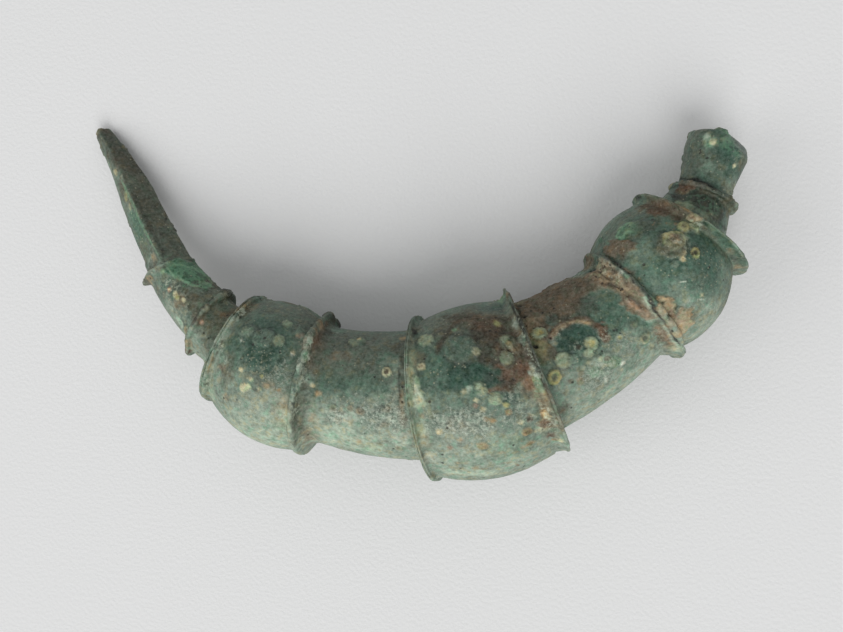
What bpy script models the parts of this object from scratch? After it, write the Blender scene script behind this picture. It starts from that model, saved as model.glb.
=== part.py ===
"""Cast bronze bow of a fibula, broken at both ends, lying on its side.

The bow is one solid. Its centre line is a circular arc with a nearly straight
foot on the left and a nearly straight stem on the right. Three swollen beads
sit on it, each between two thin disc collars, with plain bars between them.
The solid is a loft: rings stand across the centre line one after another, and
each ring has the section of the bow at its place.

The model is in metres, with +Z up. The bow lies on the plane Z = 0 as it
rests on a table, with X along its longest side.
"""

import math
from collections import namedtuple

import bmesh
import bpy
from mathutils import Matrix, Vector

MM = 0.001

# Centre line. Angles are in degrees along the arc, from its lowest point, and
# slopes are in degrees from the arc's level.
ARC_RADIUS = 31.9 * MM
FOOT_LENGTH = 18.0 * MM
FOOT_FIRST_SLOPE = 56.0
FOOT_BEND = 5.0
FOOT_BEND_SPAN = 0.8
STEM_LENGTH = 6.7 * MM
STEM_TURN = 9.0

# How far the plain stretches lie inside the line through the collars
FOOT_INSET = 0.7 * MM
STEM_INSET = 0.45 * MM
BAR_INSET = 0.35 * MM
RIGHT_BEAD_INSET = 0.3 * MM

# How far the first two beads lie outside that line
LEFT_BEAD_OUTSET = 0.25 * MM
MIDDLE_BEAD_OUTSET = 0.2 * MM

# Foot: a rounded diamond in section, blunt at the tip
FOOT_TIP_RADIUS = 0.95 * MM
FOOT_SHOULDER_RADIUS = 2.0 * MM
FOOT_BASE_RADIUS = 2.15 * MM
FOOT_SHOULDER_PLACE = 0.55
FOOT_SQUARENESS = 1.3
FOOT_FLATNESS = 0.92

# Plain round stretches
LEFT_STEM_RADIUS = 2.35 * MM
LEFT_STEM_SWELL = 0.75 * MM
LEFT_NECK_RADIUS = 3.25 * MM
LEFT_BAR_RADIUS = 5.7 * MM
LEFT_BAR_GROWTH = 0.75 * MM
RIGHT_BAR_RADIUS = 6.4 * MM
RIGHT_BAR_SHRINK = 1.0 * MM
RIGHT_NECK_RADIUS = 3.9 * MM
RIGHT_NECK_SHRINK = 0.95 * MM

# Stem beyond the last collar, flared up to the rounded edge of its break
STEM_RADIUS = 2.5 * MM
STEM_FLARE = 0.55 * MM
BREAK_ROUNDING = 1.6 * MM
BREAK_RADIUS = 2.1 * MM

# Beads: radius at the belly, and how far each end falls below it
LEFT_BEAD_RADIUS = 7.1 * MM
LEFT_BEAD_FIRST_FALL = 1.5 * MM
LEFT_BEAD_LAST_FALL = 0.6 * MM
MIDDLE_BEAD_RADIUS = 8.6 * MM
MIDDLE_BEAD_FIRST_FALL = 1.0 * MM
MIDDLE_BEAD_LAST_FALL = 1.1 * MM
RIGHT_BEAD_RADIUS = 6.9 * MM
RIGHT_BEAD_FIRST_FALL = 0.8 * MM
RIGHT_BEAD_LAST_FALL = 1.6 * MM

# Disc collars: how far each rim stands above the body beside it
COLLAR_THICKNESS = 0.75 * MM
RIM_ROUNDING = 0.2 * MM
WORN_RING_HEIGHT = 0.15 * MM
SMALL_COLLAR_HEIGHT = 0.5 * MM
BEAD_COLLAR_HEIGHT = 0.5 * MM
MIDDLE_END_COLLAR_HEIGHT = 0.85 * MM
RIGHT_END_COLLAR_HEIGHT = 0.9 * MM
STEM_COLLAR_HEIGHT = 0.35 * MM

# Nubs left on the worn rims, and how wide one is in degrees around the rim
RING_NUB_HEIGHT = 0.5 * MM
RIM_NUB_HEIGHT = 0.45 * MM
NUB_WIDTH = 9.0

# Directions around a section, in degrees
INNER = 0.0
OUTER = 180.0

# Fineness of the loft
SIDES = 32
BODY_STEP = 1.7 * MM
FOOT_STEPS = 7
WALK_STEPS = 24

ROUND = 2.0
FULL = 1.0

Nub = namedtuple("Nub", "direction height")
Collar = namedtuple("Collar", "angle height lean sway inset nubs")
Body = namedtuple("Body", "inset radius_at")
Ring = namedtuple("Ring", "place radius square flat inset lean sway nubs")

# Collars from the foot to the stem: angle along the arc, height of the rim,
# lean in the plane of the bow, sway out of it, inset, and nubs on the rim
COLLARS = (
    Collar(
        -53.3, WORN_RING_HEIGHT, -9.0, 0.0, 0.3 * MM,
        (Nub(INNER, RING_NUB_HEIGHT), Nub(OUTER, RING_NUB_HEIGHT)),
    ),
    Collar(-39.8, SMALL_COLLAR_HEIGHT, 5.5, 3.0, 0.15 * MM, (Nub(INNER, RIM_NUB_HEIGHT),)),
    Collar(-32.8, BEAD_COLLAR_HEIGHT, 7.0, 3.0, -0.3 * MM, ()),
    Collar(-15.9, BEAD_COLLAR_HEIGHT, 6.0, 0.0, 0.0, ()),
    Collar(4.8, BEAD_COLLAR_HEIGHT, 2.4, -6.0, 0.0, ()),
    Collar(24.4, MIDDLE_END_COLLAR_HEIGHT, -2.6, 0.0, 0.0, ()),
    Collar(44.7, BEAD_COLLAR_HEIGHT, -1.7, 2.0, 0.1 * MM, ()),
    Collar(60.5, RIGHT_END_COLLAR_HEIGHT, -4.3, -2.0, 0.0, ()),
    Collar(68.0, STEM_COLLAR_HEIGHT, -1.0, -3.0, 0.2 * MM, ()),
)
FOOT_START = COLLARS[0].angle
STEM_START = COLLARS[-1].angle


def taper(first, change, power=1.0):
    """Radius along a plain stretch that starts at first and changes by change."""
    return lambda share: first + change * share ** power


def swell(belly, first_fall, last_fall):
    """Radius along a bead: a smooth belly between two ends that differ."""
    peak = first_fall ** 0.5 / (first_fall ** 0.5 + last_fall ** 0.5)

    def radius_at(share):
        if share < peak:
            return belly - first_fall * ((peak - share) / peak) ** 2
        return belly - last_fall * ((share - peak) / (1.0 - peak)) ** 2

    return radius_at


# What stands between each collar and the next
BODIES = (
    Body(STEM_INSET, taper(LEFT_STEM_RADIUS, LEFT_STEM_SWELL, 0.8)),
    Body(0.0, taper(LEFT_NECK_RADIUS, 0.0)),
    Body(-LEFT_BEAD_OUTSET, swell(LEFT_BEAD_RADIUS, LEFT_BEAD_FIRST_FALL, LEFT_BEAD_LAST_FALL)),
    Body(BAR_INSET, taper(LEFT_BAR_RADIUS, LEFT_BAR_GROWTH)),
    Body(-MIDDLE_BEAD_OUTSET, swell(MIDDLE_BEAD_RADIUS, MIDDLE_BEAD_FIRST_FALL, MIDDLE_BEAD_LAST_FALL)),
    Body(BAR_INSET, taper(RIGHT_BAR_RADIUS, -RIGHT_BAR_SHRINK)),
    Body(RIGHT_BEAD_INSET, swell(RIGHT_BEAD_RADIUS, RIGHT_BEAD_FIRST_FALL, RIGHT_BEAD_LAST_FALL)),
    Body(STEM_INSET, taper(RIGHT_NECK_RADIUS, -RIGHT_NECK_SHRINK)),
)


def arc_place(angle):
    """Length along the centre line, from its lowest point, at an angle."""
    return math.radians(angle) * ARC_RADIUS


def arc_point(angle):
    """Point of the arc at an angle, with the arc's lowest point at the origin."""
    turn = math.radians(angle)
    return Vector((math.sin(turn), 1.0 - math.cos(turn), 0.0)) * ARC_RADIUS


def foot_slope(share):
    """Slope of the foot, in degrees, at a share of its length from the arc."""
    return FOOT_FIRST_SLOPE + FOOT_BEND * math.sin(math.pi * share / FOOT_BEND_SPAN)


def stem_slope(share):
    """Slope of the stem, in degrees, at a share of its length from the arc."""
    return STEM_START + STEM_TURN * share


def walk(start, length, share, slope_at, side):
    """Point reached by walking a length, up to a share of the foot or stem."""
    point = start.copy()
    for step in range(WALK_STEPS):
        slope = math.radians(slope_at(share * (step + 0.5) / WALK_STEPS))
        point += Vector((side * math.cos(slope), math.sin(slope), 0.0)) * (length / WALK_STEPS)
    return point


def centre_line(place):
    """Centre and slope, in degrees, of the centre line at a length along it."""
    foot = arc_place(FOOT_START) - place
    stem = place - arc_place(STEM_START)
    if foot > 0.0:
        share = foot / FOOT_LENGTH
        return walk(arc_point(FOOT_START), foot, share, foot_slope, -1.0), -foot_slope(share)
    if stem > 0.0:
        share = stem / STEM_LENGTH
        return walk(arc_point(STEM_START), stem, share, stem_slope, 1.0), stem_slope(share)
    angle = math.degrees(place / ARC_RADIUS)
    return arc_point(angle), angle


def leaning(place):
    """Lean and sway at a place, blended between the collars beside it."""
    first = arc_place(FOOT_START)
    if place <= first:
        fade = max(0.0, 1.0 - (first - place) / FOOT_BASE_RADIUS)
        return COLLARS[0].lean * fade, COLLARS[0].sway * fade
    for left, right in zip(COLLARS, COLLARS[1:]):
        start, end = arc_place(left.angle), arc_place(right.angle)
        if place <= end:
            share = (place - start) / (end - start)
            lean = left.lean + (right.lean - left.lean) * share
            return lean, left.sway + (right.sway - left.sway) * share
    return COLLARS[-1].lean, COLLARS[-1].sway


def ring(place, radius, inset, square=ROUND, flat=FULL):
    """Ring of the loft at a place, with the lean of the collars around it."""
    lean, sway = leaning(place)
    return Ring(place, radius, square, flat, inset, lean, sway, ())


def stretch(first, last, body):
    """Rings of a plain stretch or bead between two places, ends included."""
    count = max(2, math.ceil((last - first) / BODY_STEP))
    shares = [step / count for step in range(count + 1)]
    return [ring(first + (last - first) * share, body.radius_at(share), body.inset) for share in shares]


def collar_rings(collar, beside):
    """Rings of a disc collar: two flat faces and a rounded rim."""
    middle = arc_place(collar.angle)
    half = COLLAR_THICKNESS / 2
    rim = beside + collar.height
    outline = (
        (-half, rim - RIM_ROUNDING),
        (RIM_ROUNDING - half, rim),
        (half - RIM_ROUNDING, rim),
        (half, rim - RIM_ROUNDING),
    )
    return [
        Ring(middle + along, radius, ROUND, FULL, collar.inset, collar.lean, collar.sway, collar.nubs)
        for along, radius in outline
    ]


def foot_radius(share):
    """Half width of the foot at a share of its length from the tip."""
    if share < FOOT_SHOULDER_PLACE:
        rise = math.sin(share / FOOT_SHOULDER_PLACE * math.pi / 2)
        return FOOT_TIP_RADIUS + (FOOT_SHOULDER_RADIUS - FOOT_TIP_RADIUS) * rise
    rise = (share - FOOT_SHOULDER_PLACE) / (1.0 - FOOT_SHOULDER_PLACE)
    return FOOT_SHOULDER_RADIUS + (FOOT_BASE_RADIUS - FOOT_SHOULDER_RADIUS) * rise


def foot_rings():
    """Rings of the foot, from its blunt tip to the ring at its base."""
    base = arc_place(FOOT_START) - COLLAR_THICKNESS / 2
    shares = [step / FOOT_STEPS for step in range(FOOT_STEPS + 1)]
    return [
        ring(
            base - FOOT_LENGTH * (1.0 - share), foot_radius(share),
            FOOT_INSET, FOOT_SQUARENESS, FOOT_FLATNESS,
        )
        for share in shares
    ]


def stem_rings():
    """Rings of the stem, from its collar to the flat of the break."""
    first = arc_place(STEM_START) + COLLAR_THICKNESS / 2
    shoulder = arc_place(STEM_START) + STEM_LENGTH - BREAK_ROUNDING
    rings = stretch(first, shoulder, Body(STEM_INSET, taper(STEM_RADIUS, STEM_FLARE, 1.5)))
    full = STEM_RADIUS + STEM_FLARE
    for step in (1, 2, 3):
        turn = math.pi / 2 * step / 3
        radius = full - (full - BREAK_RADIUS) * (1.0 - math.cos(turn))
        rings.append(ring(shoulder + BREAK_ROUNDING * math.sin(turn), radius, STEM_INSET))
    return rings


def bow_rings():
    """All rings of the bow, from the tip of the foot to the break of the stem."""
    rings = foot_rings()
    for left, right, body in zip(COLLARS, COLLARS[1:], BODIES):
        rings += collar_rings(left, max(rings[-1].radius, body.radius_at(0.0)))
        first = arc_place(left.angle) + COLLAR_THICKNESS / 2
        last = arc_place(right.angle) - COLLAR_THICKNESS / 2
        rings += stretch(first, last, body)
    rings += collar_rings(COLLARS[-1], max(rings[-1].radius, STEM_RADIUS))
    return rings + stem_rings()


def nub_height(turn, nubs):
    """How far the nubs of a rim stand out in one direction, in degrees."""
    height = 0.0
    for nub in nubs:
        away = abs((turn - nub.direction + 180.0) % 360.0 - 180.0)
        height += nub.height * math.exp(-((away / NUB_WIDTH) ** 2))
    return height


def section_point(number, item):
    """Corner of a section: on a circle, or on a rounded diamond."""
    turn = 2.0 * math.pi * number / SIDES
    radius = item.radius + nub_height(math.degrees(turn), item.nubs)
    power = 2.0 / item.square
    across = math.copysign(abs(math.cos(turn)) ** power, math.cos(turn))
    up = math.copysign(abs(math.sin(turn)) ** power, math.sin(turn))
    return Vector((0.0, across * radius, up * radius * item.flat))


def ring_matrix(item):
    """Place of a ring: its centre, with local X along the centre line."""
    centre, slope = centre_line(item.place)
    along = Matrix.Rotation(math.radians(slope), 4, "Z")
    inset = along @ Vector((0.0, item.inset, 0.0))
    lean = Matrix.Rotation(math.radians(item.lean), 4, "Z")
    sway = Matrix.Rotation(math.radians(item.sway), 4, "Y")
    return Matrix.Translation(centre + inset) @ along @ lean @ sway


def set_ring(corners, item):
    """Put the corners of one ring on the section of the bow at its place."""
    matrix = ring_matrix(item)
    for number, corner in enumerate(corners):
        corner.co = matrix @ section_point(number, item)


def in_step(corners, fresh):
    """The corners of a fresh ring, in the order of the ring it came from."""
    ends = [edge.other_vert(corner) for corner in corners for edge in corner.link_edges]
    return [corner for corner in ends if corner in fresh]


def loft(mesh, rings):
    """Loft the rings: a first circle is extruded ring by ring and capped."""
    circle = bmesh.ops.create_circle(mesh, segments=SIDES, radius=FOOT_TIP_RADIUS)
    corners = circle["verts"]
    edges = list(mesh.edges)
    bmesh.ops.contextual_create(mesh, geom=edges)
    set_ring(corners, rings[0])
    for item in rings[1:]:
        made = bmesh.ops.extrude_edge_only(mesh, edges=edges)["geom"]
        edges = [part for part in made if isinstance(part, bmesh.types.BMEdge) and part.is_boundary]
        fresh = {corner for edge in edges for corner in edge.verts}
        corners = in_step(corners, fresh)
        set_ring(corners, item)
    bmesh.ops.contextual_create(mesh, geom=edges)
    bmesh.ops.recalc_face_normals(mesh, faces=mesh.faces)


def centre_of_mass(mesh):
    """Centre of mass of a closed mesh, from the tetrahedra under its faces."""
    volume = 0.0
    moment = Vector()
    for loops in mesh.calc_loop_triangles():
        first, second, third = (loop.vert.co for loop in loops)
        part = first.dot(second.cross(third)) / 6.0
        volume += part
        moment += (first + second + third) * (part / 4.0)
    return moment / volume


def resting_side(mesh):
    """Outward direction of the side that the bow rests on.

    Of the flat sides of a hull drawn around the bow, it is the one below the
    bow that comes nearest to the centre of mass.
    """
    middle = centre_of_mass(mesh)
    hull = mesh.copy()
    made = bmesh.ops.convex_hull(hull, input=hull.verts)["geom"]
    sides = [part for part in made if isinstance(part, bmesh.types.BMFace) and part.normal.z < -0.8]
    nearest = min(sides, key=lambda side: side.normal.dot(side.verts[0].co - middle))
    direction = nearest.normal.copy()
    hull.free()
    return direction


def lay_down(mesh):
    """Turn the bow onto the side that it rests on, and centre it on Z = 0."""
    down = Vector((0.0, 0.0, -1.0))
    turn = resting_side(mesh).rotation_difference(down).to_matrix().to_4x4()
    bmesh.ops.transform(mesh, matrix=turn, verts=mesh.verts)
    lowest = [min(corner.co[axis] for corner in mesh.verts) for axis in range(3)]
    highest = [max(corner.co[axis] for corner in mesh.verts) for axis in range(3)]
    shift = Vector(((lowest[0] + highest[0]) / 2, (lowest[1] + highest[1]) / 2, lowest[2]))
    bmesh.ops.translate(mesh, vec=-shift, verts=mesh.verts)


def patinated_bronze():
    """Old bronze under a green patina."""
    material = bpy.data.materials.new("patinated_bronze")
    material.use_nodes = True
    shader = material.node_tree.nodes["Principled BSDF"]
    shader.inputs["Base Color"].default_value = (0.13, 0.17, 0.14, 1.0)
    shader.inputs["Metallic"].default_value = 0.3
    shader.inputs["Roughness"].default_value = 0.5
    return material


def build_bow(collection):
    """Build the bow as one closed solid, resting on its side."""
    mesh = bmesh.new()
    loft(mesh, bow_rings())
    lay_down(mesh)
    data = bpy.data.meshes.new("fibula_bow")
    mesh.to_mesh(data)
    mesh.free()
    data.materials.append(patinated_bronze())
    data.shade_smooth()
    data.set_sharp_from_angle(angle=math.radians(40.0))
    collection.objects.link(bpy.data.objects.new("fibula_bow", data))


def main():
    """Clear the scene and build the bow of the fibula."""
    for item in list(bpy.data.objects):
        bpy.data.objects.remove(item, do_unlink=True)
    collection = bpy.data.collections.new("fibula_brooch")
    bpy.context.scene.collection.children.link(collection)
    build_bow(collection)


main()
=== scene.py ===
"""Looks of the broken bow of a cast bronze fibula, lying on a pale table.

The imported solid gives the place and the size. One fine skin takes its place:
the same loft of rings, with the true profile of each collar, worn rims, warts,
pits and soil crust. The patina is laid on the skin mark by mark. A mark is
placed by its pixel in the photograph, and it sits on the surface there as a
rounded patch of the surface itself.

Lengths are in millimetres until the mesh is written, and angles in degrees.
"""

import logging
import math
from collections.abc import Callable
from dataclasses import dataclass, field, replace
from enum import Enum
from functools import partial

import bmesh
import bpy
import numpy as np
from mathutils import Euler, Matrix, Vector


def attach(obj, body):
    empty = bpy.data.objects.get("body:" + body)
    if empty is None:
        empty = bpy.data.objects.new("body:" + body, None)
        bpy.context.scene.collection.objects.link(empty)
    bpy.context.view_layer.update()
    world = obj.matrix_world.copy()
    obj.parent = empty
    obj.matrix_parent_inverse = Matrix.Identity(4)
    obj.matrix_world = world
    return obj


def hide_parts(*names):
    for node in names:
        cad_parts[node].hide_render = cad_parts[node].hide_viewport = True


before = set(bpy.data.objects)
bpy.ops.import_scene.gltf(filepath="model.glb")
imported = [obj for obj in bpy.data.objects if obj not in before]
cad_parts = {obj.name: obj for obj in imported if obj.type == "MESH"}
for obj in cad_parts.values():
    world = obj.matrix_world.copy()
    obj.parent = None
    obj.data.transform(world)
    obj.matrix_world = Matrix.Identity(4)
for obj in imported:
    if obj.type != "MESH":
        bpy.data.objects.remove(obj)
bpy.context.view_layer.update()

MM = 0.001
LOG = logging.getLogger("fibula")
Socket = bpy.types.NodeSocket

NODE = "fibula_bow"

# Directions around a section, in degrees: inner faces the centre of the arc
INNER = 0.0
OUTER = 180.0
# Squareness of a round section
ROUND = 2.0


def smooth_step(low: float, high: float, value: np.ndarray) -> np.ndarray:
    """Rise smoothly from 0 to 1 while value goes from low to high."""
    share = np.clip((value - low) / (high - low), 0.0, 1.0)
    return share * share * (3.0 - 2.0 * share)


def linear(colour: tuple[int, int, int]) -> np.ndarray:
    """Linear light of a colour given as it shows on a screen, 0 to 255."""
    share = np.array(colour, float) / 255.0
    return np.where(share <= 0.04045, share / 12.92, ((share + 0.055) / 1.055) ** 2.4)


@dataclass(frozen=True)
class Cloud:
    """One noise of a material: its scale, detail and roughness."""

    scale: float
    detail: float = 2.0
    roughness: float = 0.5


class SoftNoise:
    """Smooth random values in space, the same on every run."""

    CELLS = 32
    LAYER_SHIFT = 7.3

    def __init__(self, seed: int) -> None:
        """Fill the lattice from a fixed seed."""
        self.lattice = np.random.default_rng(seed).random((self.CELLS,) * 3) * 2.0 - 1.0

    def at(self, points: np.ndarray, size: float) -> np.ndarray:
        """Values from -1 to 1 at some points.

        Args:
            points: Points, in mm, along the last axis.
            size: Size of one bump, in mm.

        Returns:
            One value for each point.
        """
        place = points / size
        cell = np.floor(place).astype(int)
        share = place - cell
        share = share * share * (3.0 - 2.0 * share)
        total = np.zeros(points.shape[:-1])
        for corner in np.ndindex(2, 2, 2):
            index = (cell + corner) % self.CELLS
            weight = np.prod(np.where(corner, share, 1.0 - share), axis=-1)
            total += weight * self.lattice[index[..., 0], index[..., 1], index[..., 2]]
        return total

    def layered(self, points: np.ndarray, size: float, layers: int = 3) -> np.ndarray:
        """Sum of layers, each half the size and weight of the one before."""
        halves = [(step, 2**step) for step in range(layers)]
        return sum(self.at(points + self.LAYER_SHIFT * step, size / half) / half for step, half in halves)


@dataclass(frozen=True)
class Nub:
    """A small bump or, below zero, a chip on the rim of a collar."""

    direction: float
    height: float
    width: float = 9.0


@dataclass(frozen=True)
class Collar:
    """A thin disc collar around the bow.

    The angle is its place along the arc. The height is what its rim stands
    above the body beside it. Lean tips it in the plane of the bow and sway
    out of it. The flares are the fillets on its two flanks, hollow where the
    slant is 0 and straight where it is 1.
    """

    angle: float
    height: float
    lean: float
    sway: float
    inset: float
    thickness: float = 0.62
    first_flare: float = 0.3
    last_flare: float = 0.3
    first_slant: float = 0.0
    last_slant: float = 0.0
    groove: float = 0.0
    wear: float = 0.07
    nubs: tuple[Nub, ...] = ()


@dataclass(frozen=True)
class Body:
    """A bead or plain stretch between two collars."""

    inset: float
    radius_at: Callable[[float], float]


@dataclass(frozen=True)
class Section:
    """One ring of the skin: where it stands, its size and its shape."""

    place: float
    radius: float
    inset: float
    lean: float
    sway: float
    square: float = ROUND
    flat: float = 1.0
    collar: int = -1
    rise: float = 0.0
    chip: float = 0.0


def taper(first: float, change: float, power: float = 1.0) -> Callable[[float], float]:
    """Radius along a plain stretch that starts at first and changes by change."""
    return lambda share: first + change * share**power


def swell(belly: float, first_fall: float, last_fall: float) -> Callable[[float], float]:
    """Radius along a bead: a smooth belly between two ends that differ."""
    peak = first_fall**0.5 / (first_fall**0.5 + last_fall**0.5)

    def radius_at(share: float) -> float:
        """Radius at a share of the bead's length."""
        if share < peak:
            return belly - first_fall * ((peak - share) / peak) ** 2
        return belly - last_fall * ((share - peak) / (1.0 - peak)) ** 2

    return radius_at


@dataclass(frozen=True)
class BowLine:
    """Centre line of the bow: an arc with a bent foot and a stem at its ends."""

    arc_radius: float = 31.9
    first_angle: float = -53.3
    last_angle: float = 68.0
    foot_length: float = 18.0
    foot_first_slope: float = 56.0
    foot_bend: float = 5.0
    foot_bend_span: float = 0.8
    stem_length: float = 6.7
    stem_turn: float = 9.0
    walk_steps: int = 24

    def place_of(self, angle: float) -> float:
        """Length along the centre line, from its lowest point, at an angle."""
        return math.radians(angle) * self.arc_radius

    def point_of(self, angle: float) -> Vector:
        """Point of the arc at an angle."""
        turn = math.radians(angle)
        return Vector((math.sin(turn), 1.0 - math.cos(turn), 0.0)) * self.arc_radius

    def foot_slope(self, share: float) -> float:
        """Slope of the foot at a share of its length from the arc."""
        return self.foot_first_slope + self.foot_bend * math.sin(math.pi * share / self.foot_bend_span)

    def stem_slope(self, share: float) -> float:
        """Slope of the stem at a share of its length from the arc."""
        return self.last_angle + self.stem_turn * share

    def walk(self, start: Vector, length: float, share: float, slope_at: Callable, side: float) -> Vector:
        """Point reached by walking a length from the end of the arc."""
        point = start.copy()
        for step in range(self.walk_steps):
            slope = math.radians(slope_at(share * (step + 0.5) / self.walk_steps))
            point += Vector((side * math.cos(slope), math.sin(slope), 0.0)) * (length / self.walk_steps)
        return point

    def at(self, place: float) -> tuple[Vector, float]:
        """Centre and slope of the line at a length along it."""
        foot = self.place_of(self.first_angle) - place
        stem = place - self.place_of(self.last_angle)
        if foot > 0.0:
            share = foot / self.foot_length
            start = self.point_of(self.first_angle)
            return self.walk(start, foot, share, self.foot_slope, -1.0), -self.foot_slope(share)
        if stem > 0.0:
            share = stem / self.stem_length
            start = self.point_of(self.last_angle)
            return self.walk(start, stem, share, self.stem_slope, 1.0), self.stem_slope(share)
        angle = math.degrees(place / self.arc_radius)
        return self.point_of(angle), angle


# How far each plain stretch lies inside the line through the collars
FOOT_INSET = 0.7
STEM_INSET = 0.45
BAR_INSET = 0.35

COLLARS = (
    Collar(
        -53.3, 0.1, -9.0, 0.0, 0.3, thickness=0.3, first_flare=1.5, last_flare=0.9, wear=0.04,
        nubs=(Nub(INNER, 0.4), Nub(OUTER, 0.6, 14.0)),
    ),
    Collar(
        -39.8, 0.5, 5.5, 3.0, 0.15, thickness=0.5, first_slant=0.4, wear=0.06,
        nubs=(Nub(OUTER, 0.4, 16.0), Nub(150.0, -0.1, 12.0), Nub(95.0, -0.15, 20.0)),
    ),
    Collar(
        -32.5, 0.5, 7.0, 3.0, -0.3, thickness=0.7, groove=0.15, wear=0.08, last_slant=0.4,
        nubs=(Nub(200.0, -0.62, 40.0), Nub(INNER, -0.3, 30.0)),
    ),
    Collar(-15.9, 0.5, 6.0, 0.0, 0.0, thickness=0.55, last_flare=1.15, last_slant=0.35, wear=0.05),
    Collar(4.8, 0.5, 2.4, -6.0, 0.0, thickness=0.4, groove=0.12, first_flare=0.2, last_slant=0.3, wear=0.04),
    Collar(
        24.4, 0.85, -2.6, 0.0, 0.0, thickness=0.3, first_flare=0.8, first_slant=0.6, last_flare=0.12,
        wear=0.07, nubs=(Nub(INNER, 0.15, 8.0), Nub(190.0, -0.45, 22.0)),
    ),
    Collar(
        44.7, 0.5, -1.7, 2.0, 0.1, thickness=0.36, first_flare=1.0, first_slant=0.75, last_flare=0.12,
        wear=0.08, nubs=(Nub(178.0, 0.12, 16.0),),
    ),
    Collar(
        60.8, 0.9, -6.4, -2.0, 0.0, thickness=0.3, first_flare=0.5, first_slant=0.6, last_flare=0.2,
        wear=0.06,
    ),
    Collar(68.0, 0.35, -1.0, -3.0, 0.2, thickness=0.5, wear=0.09, nubs=(Nub(OUTER, -0.05, 10.0),)),
)

BODIES = (
    Body(STEM_INSET, taper(2.35, 0.75, 0.8)),
    Body(0.0, taper(3.25, 0.0)),
    Body(-0.25, swell(7.1, 1.5, 0.6)),
    Body(BAR_INSET, taper(5.7, 0.75)),
    Body(-0.1, swell(8.5, 0.9, 1.0)),
    Body(BAR_INSET, taper(6.4, -1.0)),
    Body(0.3, swell(6.9, 0.8, 1.6)),
    Body(STEM_INSET, taper(3.9, -0.95)),
)


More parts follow.
